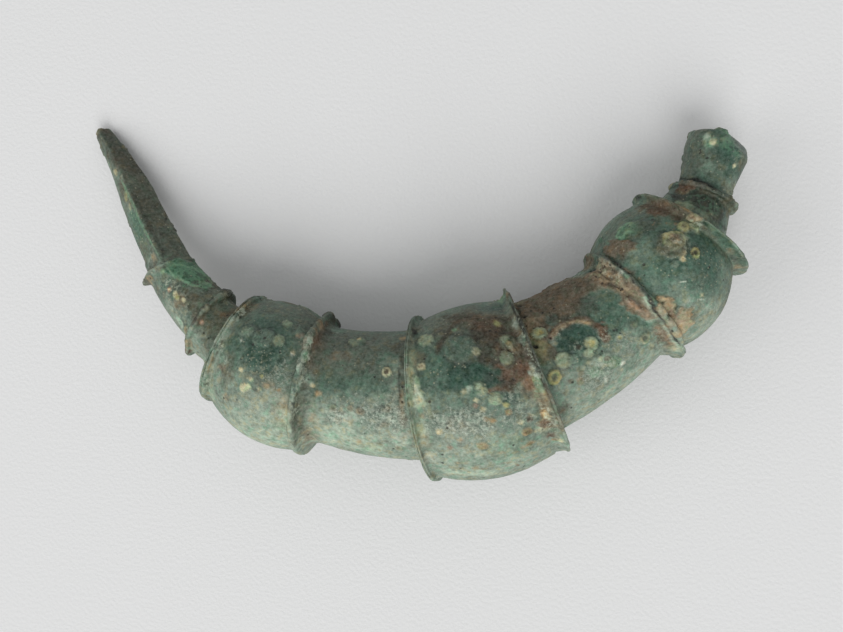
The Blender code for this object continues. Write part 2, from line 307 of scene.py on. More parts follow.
@dataclass(frozen=True)
class BowSkin:
    """Fine skin of the bow: its rings, and where their corners stand."""

    line: BowLine = BowLine()
    collars: tuple[Collar, ...] = COLLARS
    bodies: tuple[Body, ...] = BODIES
    columns: int = 152
    crowding: float = 0.55
    crowded_side: float = 100.0
    step: float = 0.165
    foot_step: float = 0.24
    solid_thickness: float = 0.75
    foot_tip_radius: float = 0.86
    foot_shoulder_radius: float = 1.98
    foot_base_radius: float = 2.35
    foot_shoulder_place: float = 0.5
    foot_squareness: float = 1.22
    foot_flatness: float = 0.92
    foot_tip_bend: float = 0.14
    foot_middle_bend: float = -0.06
    stem_radius: float = 2.5
    stem_flare: float = 0.55
    break_rounding: float = 1.6
    break_radius: float = 2.1
    break_squareness: float = 0.6
    break_lean: float = -5.0
    break_cut: float = 0.42
    chip_direction: float = 135.0
    chip_depth: float = 0.85
    chip_fade: float = 1.0
    chip_side: float = 0.62
    chip_edge: float = 0.95
    stem_flare_power: float = 1.5
    break_steps: int = 12
    tip_rounding: tuple[tuple[float, float], ...] = (
        (0.0, 0.05), (0.0, 0.4), (0.0, 0.72), (0.03, 0.9), (0.12, 1.0),
    )
    flank_top: float = 0.8
    flank_hollow: tuple[tuple[float, float], ...] = (
        (1.0, 0.0), (0.72, 0.02), (0.46, 0.07), (0.24, 0.18), (0.08, 0.4), (0.0, 0.66),
    )
    # Place across the rim in half thicknesses, height, and share of the groove
    rim_profile: tuple[tuple[float, float, float], ...] = (
        (-0.75, 0.93, 0.0), (-0.45, 1.0, 0.0), (-0.16, 1.0, 0.7), (0.0, 1.0, 1.0),
    )
    break_shares: tuple[float, ...] = (0.86, 0.7, 0.52, 0.34, 0.17, 0.03)
    rest_up: tuple[float, float, float] = (0.042422, -0.211416, 0.976475)
    rest_shift: tuple[float, float, float] = (0.7274, -10.3473, 8.4245)

    def leaning(self, place: float) -> tuple[float, float]:
        """Lean and sway at a place, blended between the collars and fading out along the foot."""
        places = [self.line.place_of(collar.angle) for collar in self.collars]
        fade = min(1.0, max(0.0, 1.0 - (places[0] - place) / self.foot_base_radius))
        lean = np.interp(place, places, [collar.lean for collar in self.collars])
        sway = np.interp(place, places, [collar.sway for collar in self.collars])
        return float(lean) * fade, float(sway) * fade

    def edges(self, collar: Collar) -> tuple[float, float]:
        """Places where the fillets of a collar start and end."""
        middle, half = self.line.place_of(collar.angle), collar.thickness / 2
        return middle - half - collar.first_flare, middle + half + collar.last_flare

    def foot_radius(self, share: float) -> float:
        """Half width of the foot at a share of its length from the tip."""
        tip, shoulder = self.foot_tip_radius, self.foot_shoulder_radius
        if share < self.foot_shoulder_place:
            return tip + (shoulder - tip) * share / self.foot_shoulder_place
        rise = (share - self.foot_shoulder_place) / (1.0 - self.foot_shoulder_place)
        return shoulder + (self.foot_base_radius - shoulder) * rise

    def foot_sections(self) -> list[Section]:
        """Sections of the foot, from its blunt tip to the first collar."""
        base = self.line.place_of(self.collars[0].angle) - self.solid_thickness / 2
        tip = base - self.line.foot_length
        count = round(self.line.foot_length / self.foot_step)
        shapes = [(tip + along, self.foot_tip_radius * share) for along, share in self.tip_rounding]
        for step in range(1, count + 1):
            share = step / count
            shapes.append((tip + self.line.foot_length * share, self.foot_radius(share)))
        sections = []
        shape = self.foot_squareness, self.foot_flatness
        for place, radius in shapes:
            share = (place - tip) / self.line.foot_length
            inset = FOOT_INSET + self.foot_tip_bend * (1.0 - share)
            inset += self.foot_middle_bend * math.sin(math.pi * share)
            sections.append(Section(place, radius, inset, *self.leaning(place), *shape))
        return sections

    def collar_sections(self, number: int, before: Section, after: Section) -> list[Section]:
        """Sections across a collar: fillet, flank, rim, flank and fillet.

        Args:
            number: Number of the collar from the foot.
            before: The section that the body before it ends with.
            after: The section that the body after it starts with.

        Returns:
            The sections, in order along the bow.
        """
        collar = self.collars[number]
        middle = self.line.place_of(collar.angle)
        half = collar.thickness / 2
        rim = max(before.radius, after.radius) + collar.height
        first, last = self.flank(collar.first_slant), self.flank(collar.last_slant)
        outline = [(-half - collar.first_flare * out, rise, before) for out, rise in first]
        crest = [(along, rise - collar.groove * share) for along, rise, share in self.rim_profile]
        outline += [(half * along, rise, before) for along, rise in crest]
        outline += [(-half * along, rise, after) for along, rise in reversed(crest[:-1])]
        outline += [(half + collar.last_flare * out, rise, after) for out, rise in reversed(last)]
        sections = []
        for along, rise, beside in outline:
            keep = 1.0 - rise
            lean, sway = self.leaning(middle + along)
            sections.append(
                Section(
                    middle + along,
                    beside.radius + (rim - beside.radius) * rise,
                    beside.inset * keep + collar.inset * rise,
                    lean * keep + collar.lean * rise,
                    sway * keep + collar.sway * rise,
                    beside.square * keep + ROUND * rise,
                    beside.flat * keep + rise,
                    number,
                    rise,
                )
            )
        return sections

    def flank(self, slant: float) -> list[tuple[float, float]]:
        """Profile of a flank: how far out of the collar, and how high."""
        return [(out, rise + (self.flank_top * (1.0 - out) - rise) * slant) for out, rise in self.flank_hollow]

    def stretch(self, first: float, last: float, body: Body, start: float, end: float) -> list[Section]:
        """Sections of a body between two places.

        Args:
            first: Place where the shown part of the body starts.
            last: Place where it ends.
            body: The bead or plain stretch.
            start: Place where the body's own length starts, under its collar.
            end: Place where that length ends.

        Returns:
            The sections, both ends included.
        """
        count = max(3, math.ceil((last - first) / self.step))
        sections = []
        for step in range(count + 1):
            place = first + (last - first) * step / count
            share = min(1.0, max(0.0, (place - start) / (end - start)))
            sections.append(Section(place, body.radius_at(share), body.inset, *self.leaning(place)))
        return sections

    def stem_sections(self) -> list[Section]:
        """Sections of the stem, from its collar to the middle of its break."""
        middle = self.line.place_of(self.collars[-1].angle)
        shoulder = middle + self.line.stem_length - self.break_rounding - self.break_cut
        body = Body(STEM_INSET, taper(self.stem_radius, self.stem_flare, self.stem_flare_power))
        first = self.edges(self.collars[-1])[1]
        sections = self.stretch(first, shoulder, body, middle + self.solid_thickness / 2, shoulder)
        full = self.stem_radius + self.stem_flare
        ends = []
        for step in range(1, self.break_steps + 1):
            turn = math.pi / 2 * step / self.break_steps
            radius = full - (full - self.break_radius) * (1.0 - math.cos(turn) ** self.break_squareness)
            ends.append((shoulder + self.break_rounding * math.sin(turn) ** self.break_squareness, radius))
        ends += [(ends[-1][0], self.break_radius * share) for share in self.break_shares]
        for place, radius in ends:
            share = (place - shoulder) / self.break_rounding
            lean = sections[0].lean + self.break_lean * share
            sections.append(Section(place, radius, STEM_INSET, lean, sections[0].sway))
        return [self.chipped(item, shoulder) for item in sections]

    def chipped(self, item: Section, shoulder: float) -> Section:
        """A stem section with its share of the chip in the break's outer edge."""
        share = smooth_step(shoulder - self.chip_fade, shoulder + self.break_rounding, np.array(item.place))
        return replace(item, chip=self.chip_depth * float(share))

    def sections(self) -> list[Section]:
        """All sections of the bow, from the tip of the foot to the break."""
        half = self.solid_thickness / 2
        limit = self.edges(self.collars[0])[0]
        result = [item for item in self.foot_sections() if item.place < limit]
        stretches = []
        for left, right, body in zip(self.collars, self.collars[1:], self.bodies):
            start, end = self.line.place_of(left.angle) + half, self.line.place_of(right.angle) - half
            stretches.append(self.stretch(self.edges(left)[1], self.edges(right)[0], body, start, end))
        stretches.append(self.stem_sections())
        for number, following in enumerate(stretches):
            result += self.collar_sections(number, result[-1], following[0])[1:-1]
            result += following
        return result

    def directions(self) -> np.ndarray:
        """Direction of each column in degrees, closest together on top."""
        even = np.arange(self.columns + 1) * 360.0 / self.columns
        crowd = math.degrees(self.crowding) * np.sin(np.radians(even - self.crowded_side))
        return even - crowd

    def rim_change(self, collar: Collar, directions: np.ndarray) -> np.ndarray:
        """How far nubs and chips move the rim of a collar in each direction."""
        change = np.zeros_like(directions)
        for nub in collar.nubs:
            away = np.abs((directions - nub.direction + 180.0) % 360.0 - 180.0)
            change += nub.height * np.exp(-((away / nub.width) ** 2))
        return change

    def grid(self, sections: list[Section]) -> np.ndarray:
        """Corners of the skin in the row frame, ring by ring, seam doubled."""
        directions = self.directions()
        turns = np.radians(directions)
        across, up = np.cos(turns), np.sin(turns)
        chip = math.radians(self.chip_direction)
        lay = (-Vector(self.rest_up)).rotation_difference(Vector((0.0, 0.0, -1.0))).to_matrix()
        rings = []
        for item in sections:
            power = 2.0 / item.square
            radius = np.full_like(directions, item.radius)
            if item.collar >= 0:
                radius += self.rim_change(self.collars[item.collar], directions) * item.rise
            local = np.stack(
                (
                    np.zeros_like(turns),
                    np.copysign(np.abs(across) ** power, across) * radius,
                    np.copysign(np.abs(up) ** power, up) * radius * item.flat,
                ),
                axis=-1,
            )
            outward = local[..., 1] * math.cos(chip) + local[..., 2] * math.sin(chip)
            outward /= self.stem_radius + self.stem_flare
            local[..., 0] = -item.chip * smooth_step(self.chip_side, self.chip_edge, outward)
            centre, slope = self.line.at(item.place)
            along = Matrix.Rotation(math.radians(slope), 3, "Z")
            turned = along @ Matrix.Rotation(math.radians(item.lean), 3, "Z")
            turned @= Matrix.Rotation(math.radians(item.sway), 3, "Y")
            middle = centre + along @ Vector((0.0, item.inset, 0.0))
            rings.append(local @ np.array(turned).T + np.array(middle))
        points = np.array(rings) @ np.array(lay).T + np.array(self.rest_shift)
        points[:, -1] = points[:, 0]
        return points


@dataclass(frozen=True)
class PhotoCamera:
    """The camera that took the photograph, in the row frame."""

    position: tuple[float, float, float] = (10.337, 0.044, 86.512)
    turn: tuple[float, float, float] = (-1.652, 5.586, 0.121)
    lens: float = 34.1637
    sensor: float = 36.0
    width: int = 843
    height: int = 632

    def rotation(self) -> Matrix:
        """Turn of the camera's axes."""
        return Euler([math.radians(angle) for angle in self.turn], "XYZ").to_matrix()

    def project(self, points: np.ndarray) -> tuple[np.ndarray, np.ndarray]:
        """Pixels of some points, and their distance along the view.

        Args:
            points: Points in mm, along the last axis.

        Returns:
            Pixels, from the top left corner of the photograph, and depths.
        """
        local = (points - np.array(self.position)) @ np.array(self.rotation())
        depth = -local[..., 2]
        focal = self.lens / self.sensor * self.width
        across = self.width / 2 + local[..., 0] / depth * focal
        down = self.height / 2 - local[..., 1] / depth * focal
        return np.stack((across, down), axis=-1), depth

    def axes(self) -> np.ndarray:
        """Right, up and toward the camera, as rows."""
        return np.array(self.rotation()).T

    def pixel_length(self, point: np.ndarray) -> float:
        """Length of one pixel at a point, in mm."""
        _, depth = self.project(point)
        return float(depth) / (self.lens / self.sensor * self.width)

    def make(self) -> None:
        """Put the camera in the scene."""
        data = bpy.data.cameras.new("photo_camera")
        data.lens = self.lens
        data.sensor_width = self.sensor
        data.sensor_fit = "HORIZONTAL"
        data.clip_start = 0.005
        data.clip_end = 10.0
        camera = put("photo_camera", data)
        camera.location = Vector(self.position) * MM
        camera.rotation_euler = [math.radians(angle) for angle in self.turn]
        bpy.context.scene.camera = camera


@dataclass(frozen=True)
class Pigment:
    """Colour of the patina as it shows in plain light, its roughness and how earthy it is."""

    shown: tuple[int, int, int]
    roughness: float
    grain: float

    @property
    def colour(self) -> np.ndarray:
        """Linear colour."""
        return linear(self.shown)


DEEP_TEAL = Pigment((48, 75, 62), 0.36, 0.0)
TEAL = Pigment((73, 98, 82), 0.42, 0.0)
SEA = Pigment((100, 118, 102), 0.5, 0.1)
PALE = Pigment((136, 148, 132), 0.62, 0.1)
SAGE = Pigment((140, 152, 124), 0.65, 0.2)
LICHEN = Pigment((152, 166, 136), 0.7, 0.2)
MINT = Pigment((156, 170, 150), 0.7, 0.2)
WHITE = Pigment((194, 200, 182), 0.75, 0.3)
GREY = Pigment((87, 97, 83), 0.48, 0.0)
MALACHITE = Pigment((58, 98, 72), 0.5, 0.1)
LIGHT_MALACHITE = Pigment((116, 148, 118), 0.6, 0.2)
OLIVE = Pigment((92, 94, 76), 0.65, 0.3)
DARK_OLIVE = Pigment((48, 50, 40), 0.6, 0.2)
BLACK = Pigment((30, 31, 27), 0.7, 0.2)
DARK_BROWN = Pigment((64, 58, 46), 0.75, 0.5)
BROWN = Pigment((98, 88, 72), 0.85, 0.8)
SOIL = Pigment((122, 109, 90), 0.95, 1.0)
TAN = Pigment((152, 138, 110), 0.9, 0.9)
RUST = Pigment((100, 80, 64), 0.85, 0.7)
ORANGE = Pigment((150, 126, 88), 0.85, 0.5)
PINK = Pigment((150, 131, 112), 0.8, 0.5)
CREAM = Pigment((190, 186, 150), 0.8, 0.3)
YELLOW = Pigment((164, 162, 110), 0.75, 0.3)


class Brush(Enum):
    """Ways of laying a mark.

    The values are the softness of its edge and how far the edge strays, as
    shares of the mark, its lift in mm, the dimple in its middle as a share of
    the lift, and how mottled it is.
    """

    STAIN = (0.9, 0.45, 0.0, 0.0, 0.0)
    PATCH = (0.4, 0.55, 0.0, 0.0, 0.0)
    POOL = (0.12, 0.3, 0.0, 0.0, 0.0)
    CRUST = (0.2, 0.5, 0.16, 0.0, 0.4)
    DISC = (0.14, 0.1, 0.2, 0.3, 0.6)
    WART = (0.2, 0.16, 0.28, 0.75, 0.4)
    DOT = (0.5, 0.25, 0.06, 0.0, 0.0)
    LUMP = (0.6, 0.3, 0.3, 0.0, 0.0)

    def __init__(self, softness: float, wobble: float, lift: float, dimple: float, texture: float) -> None:
        """Name the values of a brush."""
        self.softness = softness
        self.wobble = wobble
        self.lift = lift
        self.dimple = dimple
        self.texture = texture


@dataclass(frozen=True)
class Spot:
    """Place of a mark, in pixels of the photograph, and its size.

    A pixel is 0.1 mm long on the bow. The turn is counterclockwise in degrees.
    """

    x: float
    y: float
    wide: float
    high: float
    strength: float = 1.0
    turn: float = 0.0


@dataclass(frozen=True)
class Mark:
    """One mark of a brush. The core is the pigment of its middle."""

    brush: Brush
    pigment: Pigment
    spot: Spot
    core: Pigment | None = None
    lift: float | None = None
    rim_only: bool = False


@dataclass(frozen=True)
class Stroke:
    """A line of patina through some pixels, such as a dark line along a collar."""

    pigment: Pigment
    through: tuple[tuple[float, float], ...]
    width: float
    strength: float = 1.0
    lift: float = 0.0
    rim_only: bool = False


@dataclass(frozen=True)
class Fleck:
    """An area of fine flecks, too small for the skin, that the material draws."""

    kind: str
    spot: Spot


def marks(brush: Brush, *rows: tuple, **changes: object) -> tuple[Mark, ...]:
    """Marks of one brush.

    Args:
        brush: The brush.
        rows: The pigment of each mark and the values of its Spot.
        changes: The core, lift or rim_only of all these marks.

    Returns:
        The marks, in the order of the rows.
    """
    return tuple(Mark(brush, pigment, Spot(*place), **changes) for pigment, *place in rows)


def warts(*rows: tuple) -> tuple[Mark, ...]:
    """Warts, from the pigments of their rim and core and the values of their Spot."""
    return tuple(Mark(Brush.WART, rim, Spot(*place), core) for rim, core, *place in rows)


def flecks(*rows: tuple) -> tuple[Fleck, ...]:
    """Areas of flecks, from their kind and the values of their Spot."""
    return tuple(Fleck(kind, Spot(*place)) for kind, *place in rows)


stains = partial(marks, Brush.STAIN)
patches = partial(marks, Brush.PATCH)
pools = partial(marks, Brush.POOL)
crusts = partial(marks, Brush.CRUST)
discs = partial(marks, Brush.DISC)
dots = partial(marks, Brush.DOT)
lumps = partial(marks, Brush.LUMP)

# The marks, region by region from the foot to the stem, in the order of laying. A row
# holds a pigment, or for flecks their kind, then the x, y, width, height, strength and
# turn of its Spot. A wart's row also names its core, after the pigment of its rim.
FOOT = (
    # The DARK_BROWN stain at (150, 195) darkens the foot's right facet, turned from the light: painted shade
    # over brown patina
    *stains(
        (GREY, 135, 200, 60, 90), (DARK_BROWN, 150, 195, 15, 70, 0.5, 28),
        (DARK_BROWN, 128, 165, 14, 22, 0.4, 28), (DARK_OLIVE, 110, 138, 14, 22, 0.6, 25),
        (RUST, 115, 165, 3, 5, 0.6),
    ),
    *patches(
        (SEA, 117, 182, 6, 26, 0.5, 20), (TEAL, 139, 236, 8, 32, 0.9, 27),
        (MALACHITE, 137, 226, 5, 20, 0.4, 27), (YELLOW, 126, 196, 3, 4, 0.4), (PALE, 151, 263, 7, 8, 0.7),
        (TAN, 153, 258, 4, 5, 0.7),
    ),
    *crusts(
        (CREAM, 116, 172, 2.4, 4, 0.4, 30), (CREAM, 130, 207, 2.4, 4, 0.3, 30),
        (MINT, 122, 181, 3.5, 5, 0.4, 30),
    ),
    *stains(
        (DARK_BROWN, 112, 158, 8, 11, 0.6, 25), (DARK_BROWN, 122, 187, 7, 12, 0.6, 25),
        (OLIVE, 142, 247, 7, 10, 0.65, 25), (OLIVE, 143, 250, 5, 6, 0.5, 25),
    ),
    Stroke(DARK_OLIVE, ((134, 196), (146, 219), (158, 243), (165, 256)), 2.2, 0.5),
    Stroke(LIGHT_MALACHITE, ((122, 181), (131, 200), (140, 222), (152, 245), (163, 262)), 1.1, 0.45),
    *flecks(("speckle", 128, 200, 16, 50, 0.4, 25)),
)

LEFT_STEM = (
    *stains((GREY, 188, 280, 40, 40, 0.8)),
    *patches((DARK_BROWN, 205, 282, 14, 9, 0.6, -35), (DARK_BROWN, 190, 300, 8, 12, 0.55, 30)),
    *stains(
        (PALE, 160, 276, 9, 16, 0.5, 30), (PALE, 190, 328, 6, 10, 0.7, 25), (PALE, 170, 306, 6, 10, 0.7, 30),
    ),
    *patches(
        (TEAL, 165, 275, 9, 9, 0.6), (SOIL, 181, 303, 7, 9, 0.5, 30), (TAN, 150, 279, 5, 5, 0.7),
        (LIGHT_MALACHITE, 206, 285, 7, 4, 0.7, -15), (LIGHT_MALACHITE, 172, 262, 6, 4, 0.5, -30),
        (MINT, 180, 322, 3, 8, 0.8, 30),
    ),
    *crusts((MALACHITE, 188, 272, 25, 12, 0.85, -32)),
    *dots((LIGHT_MALACHITE, 163, 272, 3, 3), (TEAL, 163, 287, 3, 4)),
    *dots((PINK, 169, 289, 2.6, 3), core=CREAM),
    *dots((CREAM, 175, 294, 2.6, 3.4), (CREAM, 184, 300, 2, 2), (YELLOW, 178, 298, 2.4, 2.4)),
    *flecks(("speckle", 168, 284, 14, 14, 0.6)),
    Stroke(LIGHT_MALACHITE, (
        (166, 265), (180, 265), (198, 272), (212, 283), (210, 289), (192, 285), (175, 277), (166, 266),
    ), 1.1, 0.6, lift=0.03),
    *flecks(
        ("veins", 188, 272, 26, 13, 1, -32), ("crust", 170, 288, 16, 10, 0.5, -40),
        ("crust", 178, 305, 16, 20, 0.25),
    ),
)

LEFT_NECK = (
    *stains((OLIVE, 215, 320, 22, 30, 0.8), (PALE, 196, 342, 10, 16, 0.65, 20)),
    *patches((BROWN, 226, 314, 9, 6, 0.7, -30), (GREY, 212, 316, 7, 5, 0.7), (TAN, 189, 345, 4, 9, 0.5)),
    *patches(
        (TAN, 212, 299, 3, 2, 0.7), (TAN, 186, 346, 4, 6, 0.5), (MINT, 193, 314, 2, 3, 0.8), rim_only=True,
    ),
    *dots((PINK, 202, 322, 2.4, 2.4)),
    *lumps((DARK_OLIVE, 227, 290, 7, 5, 1, 10), lift=0.25),
    Stroke(BLACK, ((222, 291), (209, 296), (196, 308), (187, 324)), 1.7, 0.85, rim_only=True),
    Stroke(BLACK, ((213, 299), (199, 312), (191, 326)), 1.5, 0.55),
)

LEFT_BEAD = (
    *stains(
        (GREY, 285, 316, 48, 22, 0.85), (DARK_BROWN, 318, 330, 14, 16, 0.45), (TEAL, 262, 340, 42, 26, 0.9),
        (PALE, 262, 410, 50, 34, 0.8), (MINT, 255, 432, 40, 22, 0.55), (TAN, 282, 405, 8, 16, 0.4, -15),
        (PALE, 217, 366, 13, 22, 0.75, -15), (PALE, 227, 326, 10, 15, 0.75, -35), (PALE, 230, 379, 7, 10, 0.6),
    ),
    *patches((GREY, 266, 380, 14, 10, 0.9)),
    *stains(
        (TAN, 249, 306, 9, 7, 0.35, 40), (SAGE, 284, 419, 12, 13, 0.7), (SAGE, 210, 389, 8, 13, 0.6),
        (WHITE, 281, 416, 8, 7, 0.35),
    ),
    *patches(
        (DEEP_TEAL, 258, 352, 24, 14, 0.9), (DEEP_TEAL, 266, 366, 20, 8, 0.7),
        (DEEP_TEAL, 268, 326, 16, 8, 0.5), (SEA, 285, 375, 12, 20, 0.6), (OLIVE, 228, 372, 9, 16, 0.55, -15),
        (SOIL, 222, 366, 4, 4, 0.7), (TAN, 225, 397, 4, 4, 0.6), (TAN, 270, 385, 9, 5, 0.25),
        (PINK, 304, 345, 7, 6, 0.65), (PINK, 301, 336, 4, 3, 0.6),
    ),
    *patches(
        (ORANGE, 244, 306, 3, 3, 0.8), (ORANGE, 207, 396, 3, 3, 0.5), (BLACK, 262, 297, 6, 3, 0.8, 15),
        (TAN, 236, 309, 6, 3, 0.6, 30), (WHITE, 217, 339, 3.4, 4, 0.85), (WHITE, 214, 350, 3.4, 4, 0.7),
        (MINT, 222, 328, 3, 4, 0.5), rim_only=True,
    ),
    *crusts((CREAM, 245, 388, 8, 4.2, 1, 8)),
    *discs(
        (SEA, 248, 331, 11, 6, 0.75), (SEA, 264, 338, 11, 9, 0.65), (SAGE, 248, 331, 7, 3.4, 0.35),
        (SAGE, 287, 324, 5, 4, 0.6), (SAGE, 279, 341, 6, 6, 0.6),
    ),
    *dots(
        (CREAM, 251, 379, 2.4, 2), (CREAM, 241, 370, 2.2, 1.8), (CREAM, 259, 389, 2.2, 1.8),
        (WHITE, 241, 340, 1.8, 1.8), (WHITE, 292, 354, 2, 2), (YELLOW, 262, 376, 1.8, 1.8),
        (TAN, 266, 386, 3, 2.4), (TAN, 278, 390, 2.4, 2.4),
    ),
    Stroke(TEAL, (
        (260, 297), (245, 308), (229, 322), (216, 345), (205, 375), (205, 402),
    ), 2, 0.5, rim_only=True),
    Stroke(DARK_BROWN, ((252, 303), (236, 318), (224, 338), (213, 362)), 1.2, 0.4),
    Stroke(TAN, ((213, 354), (209, 372), (209, 395)), 1.6, 0.6, rim_only=True),
    *stains(
        (PALE, 224, 328, 10, 12, 0.8, -35), (PALE, 302, 346, 7, 8, 0.5), (PALE, 222, 398, 6, 8, 0.5),
        (MINT, 221, 329, 8, 11, 0.5, -30), (MINT, 210, 391, 7, 10, 0.6), (SEA, 240, 356, 8, 9, 0.5),
        (SEA, 262, 347, 8, 7, 0.35), (SEA, 223, 307, 8, 6, 0.4), (GREY, 232, 297, 6, 5, 0.7),
    ),
    *flecks(
        ("speckle", 264, 362, 34, 22), ("speckle", 258, 392, 40, 24, 0.6), ("mottle", 262, 412, 42, 22, 0.55),
        ("mottle", 282, 372, 20, 24, 0.8), ("crust", 218, 342, 7, 34, 0.6, 25),
        ("crust", 242, 312, 18, 6, 0.8, 40), ("crust", 207, 385, 5, 20, 0.6),
    ),
)

SECOND_COLLAR_PAIR = (
    # The OLIVE stain at (301, 415) is olive patina, partly painted shade on the collar's lower crest
    *stains((BROWN, 316, 352, 9, 26, 0.8, -12), (OLIVE, 301, 415, 8, 34, 0.7, -8)),
    *patches(
        # The BLACK patch at (335, 317) is painted shade on the far side of the collar's upper end
        (RUST, 318, 338, 6, 10, 0.7, -25), (RUST, 322, 326, 3, 4, 0.8), (BLACK, 335, 317, 2, 5, 0.8),
        (BLACK, 327, 333, 5, 6, 0.7, -20),
    ),
    *patches(
        (TAN, 315, 331, 3, 4, 0.7), (WHITE, 309, 341, 2.4, 4, 0.8, -15), (WHITE, 300, 369, 3.4, 5, 0.75),
        (LIGHT_MALACHITE, 305, 356, 3, 6, 0.9, -10), (BLACK, 299, 377, 2.4, 3, 0.7),
        (BLACK, 303, 364, 1.6, 5, 0.6), (BLACK, 293, 405, 1.8, 4, 0.6), (MINT, 294, 397, 2.4, 5, 0.7),
        # The DARK_OLIVE patch at (298, 418) darkens the collar's lower crest: painted shade
        (DEEP_TEAL, 296, 387, 2.6, 4, 0.7), (DARK_OLIVE, 298, 418, 5, 28, 0.6, -6), rim_only=True,
    ),
    *patches((PALE, 311, 415, 3, 24, 0.5, -4)),
    # The DARK_OLIVE colour of these two lumps at the collar's upper end is painted shade: its far side, turned
    # from the light
    *lumps((DARK_OLIVE, 331, 319, 7, 6), lift=0.42),
    *lumps((DARK_OLIVE, 340, 322, 6, 7), lift=0.35),
    *stains((SOIL, 311, 436, 7, 14, 0.8)),
    *patches(
        # The DARK_OLIVE patch at (340, 325) is painted shade on the far side of the collar's upper end
        (DARK_OLIVE, 340, 325, 6, 4, 0.8), (PALE, 303, 376, 6, 8, 0.8), (PALE, 312, 376, 4, 8, 0.6),
        (TAN, 321, 327, 5, 6, 0.5),
    ),
    Stroke(MINT, ((310, 338), (304, 352), (300, 368), (297, 388)), 1.8, 0.5, rim_only=True),
    Stroke(RUST, ((327, 322), (318, 338), (312, 352), (309, 366)), 2.6, 0.6),
    *flecks(("crust", 305, 355, 7, 40, 0.7, -12), ("crust", 296, 405, 4, 30, 0.6, -4)),
)

LEFT_BAR = (
    *stains(
        (GREY, 365, 350, 48, 30, 0.95), (SEA, 362, 400, 44, 16, 0.8), (PALE, 362, 425, 52, 22, 0.95),
        (MINT, 352, 440, 44, 16, 0.75), (PINK, 340, 357, 12, 6, 0.22), (SAGE, 371, 447, 12, 6, 0.5),
        (SAGE, 383, 397, 7, 6, 0.3), (PALE, 335, 410, 18, 11, 0.5), (PALE, 396, 390, 10, 24, 0.6),
        (PALE, 360, 406, 10, 7, 0.6), (MINT, 338, 413, 16, 9, 0.75), (PALE, 391, 367, 8, 9, 0.8),
        (PALE, 374, 367, 9, 8, 0.35), (WHITE, 400, 437, 9, 9, 0.4), (WHITE, 343, 417, 11, 6, 0.35),
        (MINT, 392, 367, 7, 8, 0.5), (MINT, 411, 337, 5, 7, 0.3), (WHITE, 413, 428, 6, 9, 0.35),
        (DARK_BROWN, 402, 372, 3.5, 38, 0.4, -2), (RUST, 402, 412, 4, 18, 0.8, 6),
        (TAN, 416, 446, 5, 12, 0.4, 15), (TAN, 314, 418, 4, 20, 0.35, 2),
    ),
    *patches((GREY, 360, 372, 40, 12, 0.7)),
    *stains((SEA, 386, 361, 12, 12, 0.75)),
    *patches(
        (TEAL, 355, 384, 38, 9, 0.5, -2), (DEEP_TEAL, 335, 384, 16, 6, 0.4), (DEEP_TEAL, 386, 388, 5, 6, 0.35),
        (DEEP_TEAL, 362, 404, 9, 5, 0.35), (SEA, 372, 424, 12, 8, 0.5), (SEA, 360, 426, 9, 7, 0.5),
        (DARK_BROWN, 397, 347, 5, 8, 0.3), (DARK_BROWN, 400, 393, 1.6, 10, 0.6), (TAN, 403, 339, 4, 3, 0.9),
        (BROWN, 331, 357, 6, 3, 0.35), (BLACK, 399.5, 376, 1.4, 12, 0.6),
    ),
    *discs((TEAL, 357, 342, 9, 5, 0.55)),
    *crusts((SAGE, 354, 343, 5, 3, 0.4), (SAGE, 363, 341, 4.4, 2.6, 0.35)),
    *warts(
        (CREAM, BROWN, 386.5, 371, 4.6, 4.4), (TAN, OLIVE, 333, 408, 4, 3.4, 0.65),
        (TAN, OLIVE, 351, 409, 3.6, 3, 0.5), (TAN, OLIVE, 388, 409, 3.6, 3, 0.6),
        (TAN, OLIVE, 384, 425, 3.8, 3, 0.7), (TAN, OLIVE, 399, 448, 4.2, 3, 0.6),
        (TAN, DARK_BROWN, 361, 411, 4.6, 3.6, 0.6), (PALE, SEA, 388, 401, 3.4, 3, 0.8),
    ),
    *dots(
        (CREAM, 359, 340, 2.2, 1.6, 0.8), (CREAM, 312, 386, 1.8, 1.8), (TAN, 318, 393, 4, 3, 0.8),
        (TAN, 309, 419, 3.4, 4, 0.6), (TAN, 360, 441, 4, 3.4, 0.55),
    ),
    *dots((TEAL, 366, 396, 2.4, 2.4), core=DEEP_TEAL),
    *dots((TEAL, 341, 396, 2.4, 2)),
    *stains((PALE, 408, 362, 7, 26, 0.8), (MINT, 411, 400, 8, 30, 0.8, -4), (MINT, 420, 430, 9, 26, 0.8, -15)),
    *flecks(
        ("mottle", 338, 416, 20, 13), ("mottle", 384, 416, 36, 20), ("mottle", 360, 402, 44, 14, 0.6),
        ("crust", 388, 412, 24, 22, 0.45), ("speckle", 352, 396, 38, 12, 0.6),
        ("speckle", 370, 430, 40, 12, 0.35),
    ),
)

THIRD_COLLAR = (
    *stains(
        (LICHEN, 412, 357, 6, 10, 0.6), (LICHEN, 409, 390, 4, 20, 0.5), (LICHEN, 416, 430, 7, 13, 0.9, -12),
    ),
    *patches((TAN, 402, 402, 2.2, 18, 0.6)),
    *patches((SEA, 419, 318, 6, 7, 0.8), rim_only=True),
    *patches((BLACK, 414, 332, 4, 5, 0.85, -25)),
    *patches((TEAL, 417, 323, 4, 4, 0.6), rim_only=True),
    *lumps((MINT, 434, 478, 4, 3, 0.9), lift=0.15),
    Stroke(MINT, ((411, 345), (410, 358), (410, 374)), 1.2, 0.7, rim_only=True),
    Stroke(DARK_BROWN, ((408, 350), (407, 380), (410, 410), (415, 436), (424, 461)), 1.0, 0.45),
    Stroke(DEEP_TEAL, ((413, 404), (417, 432), (425, 456), (432, 474)), 1.2, 0.45, rim_only=True),
    Stroke(TAN, ((411, 432), (415, 445)), 2.2, 0.5),
)

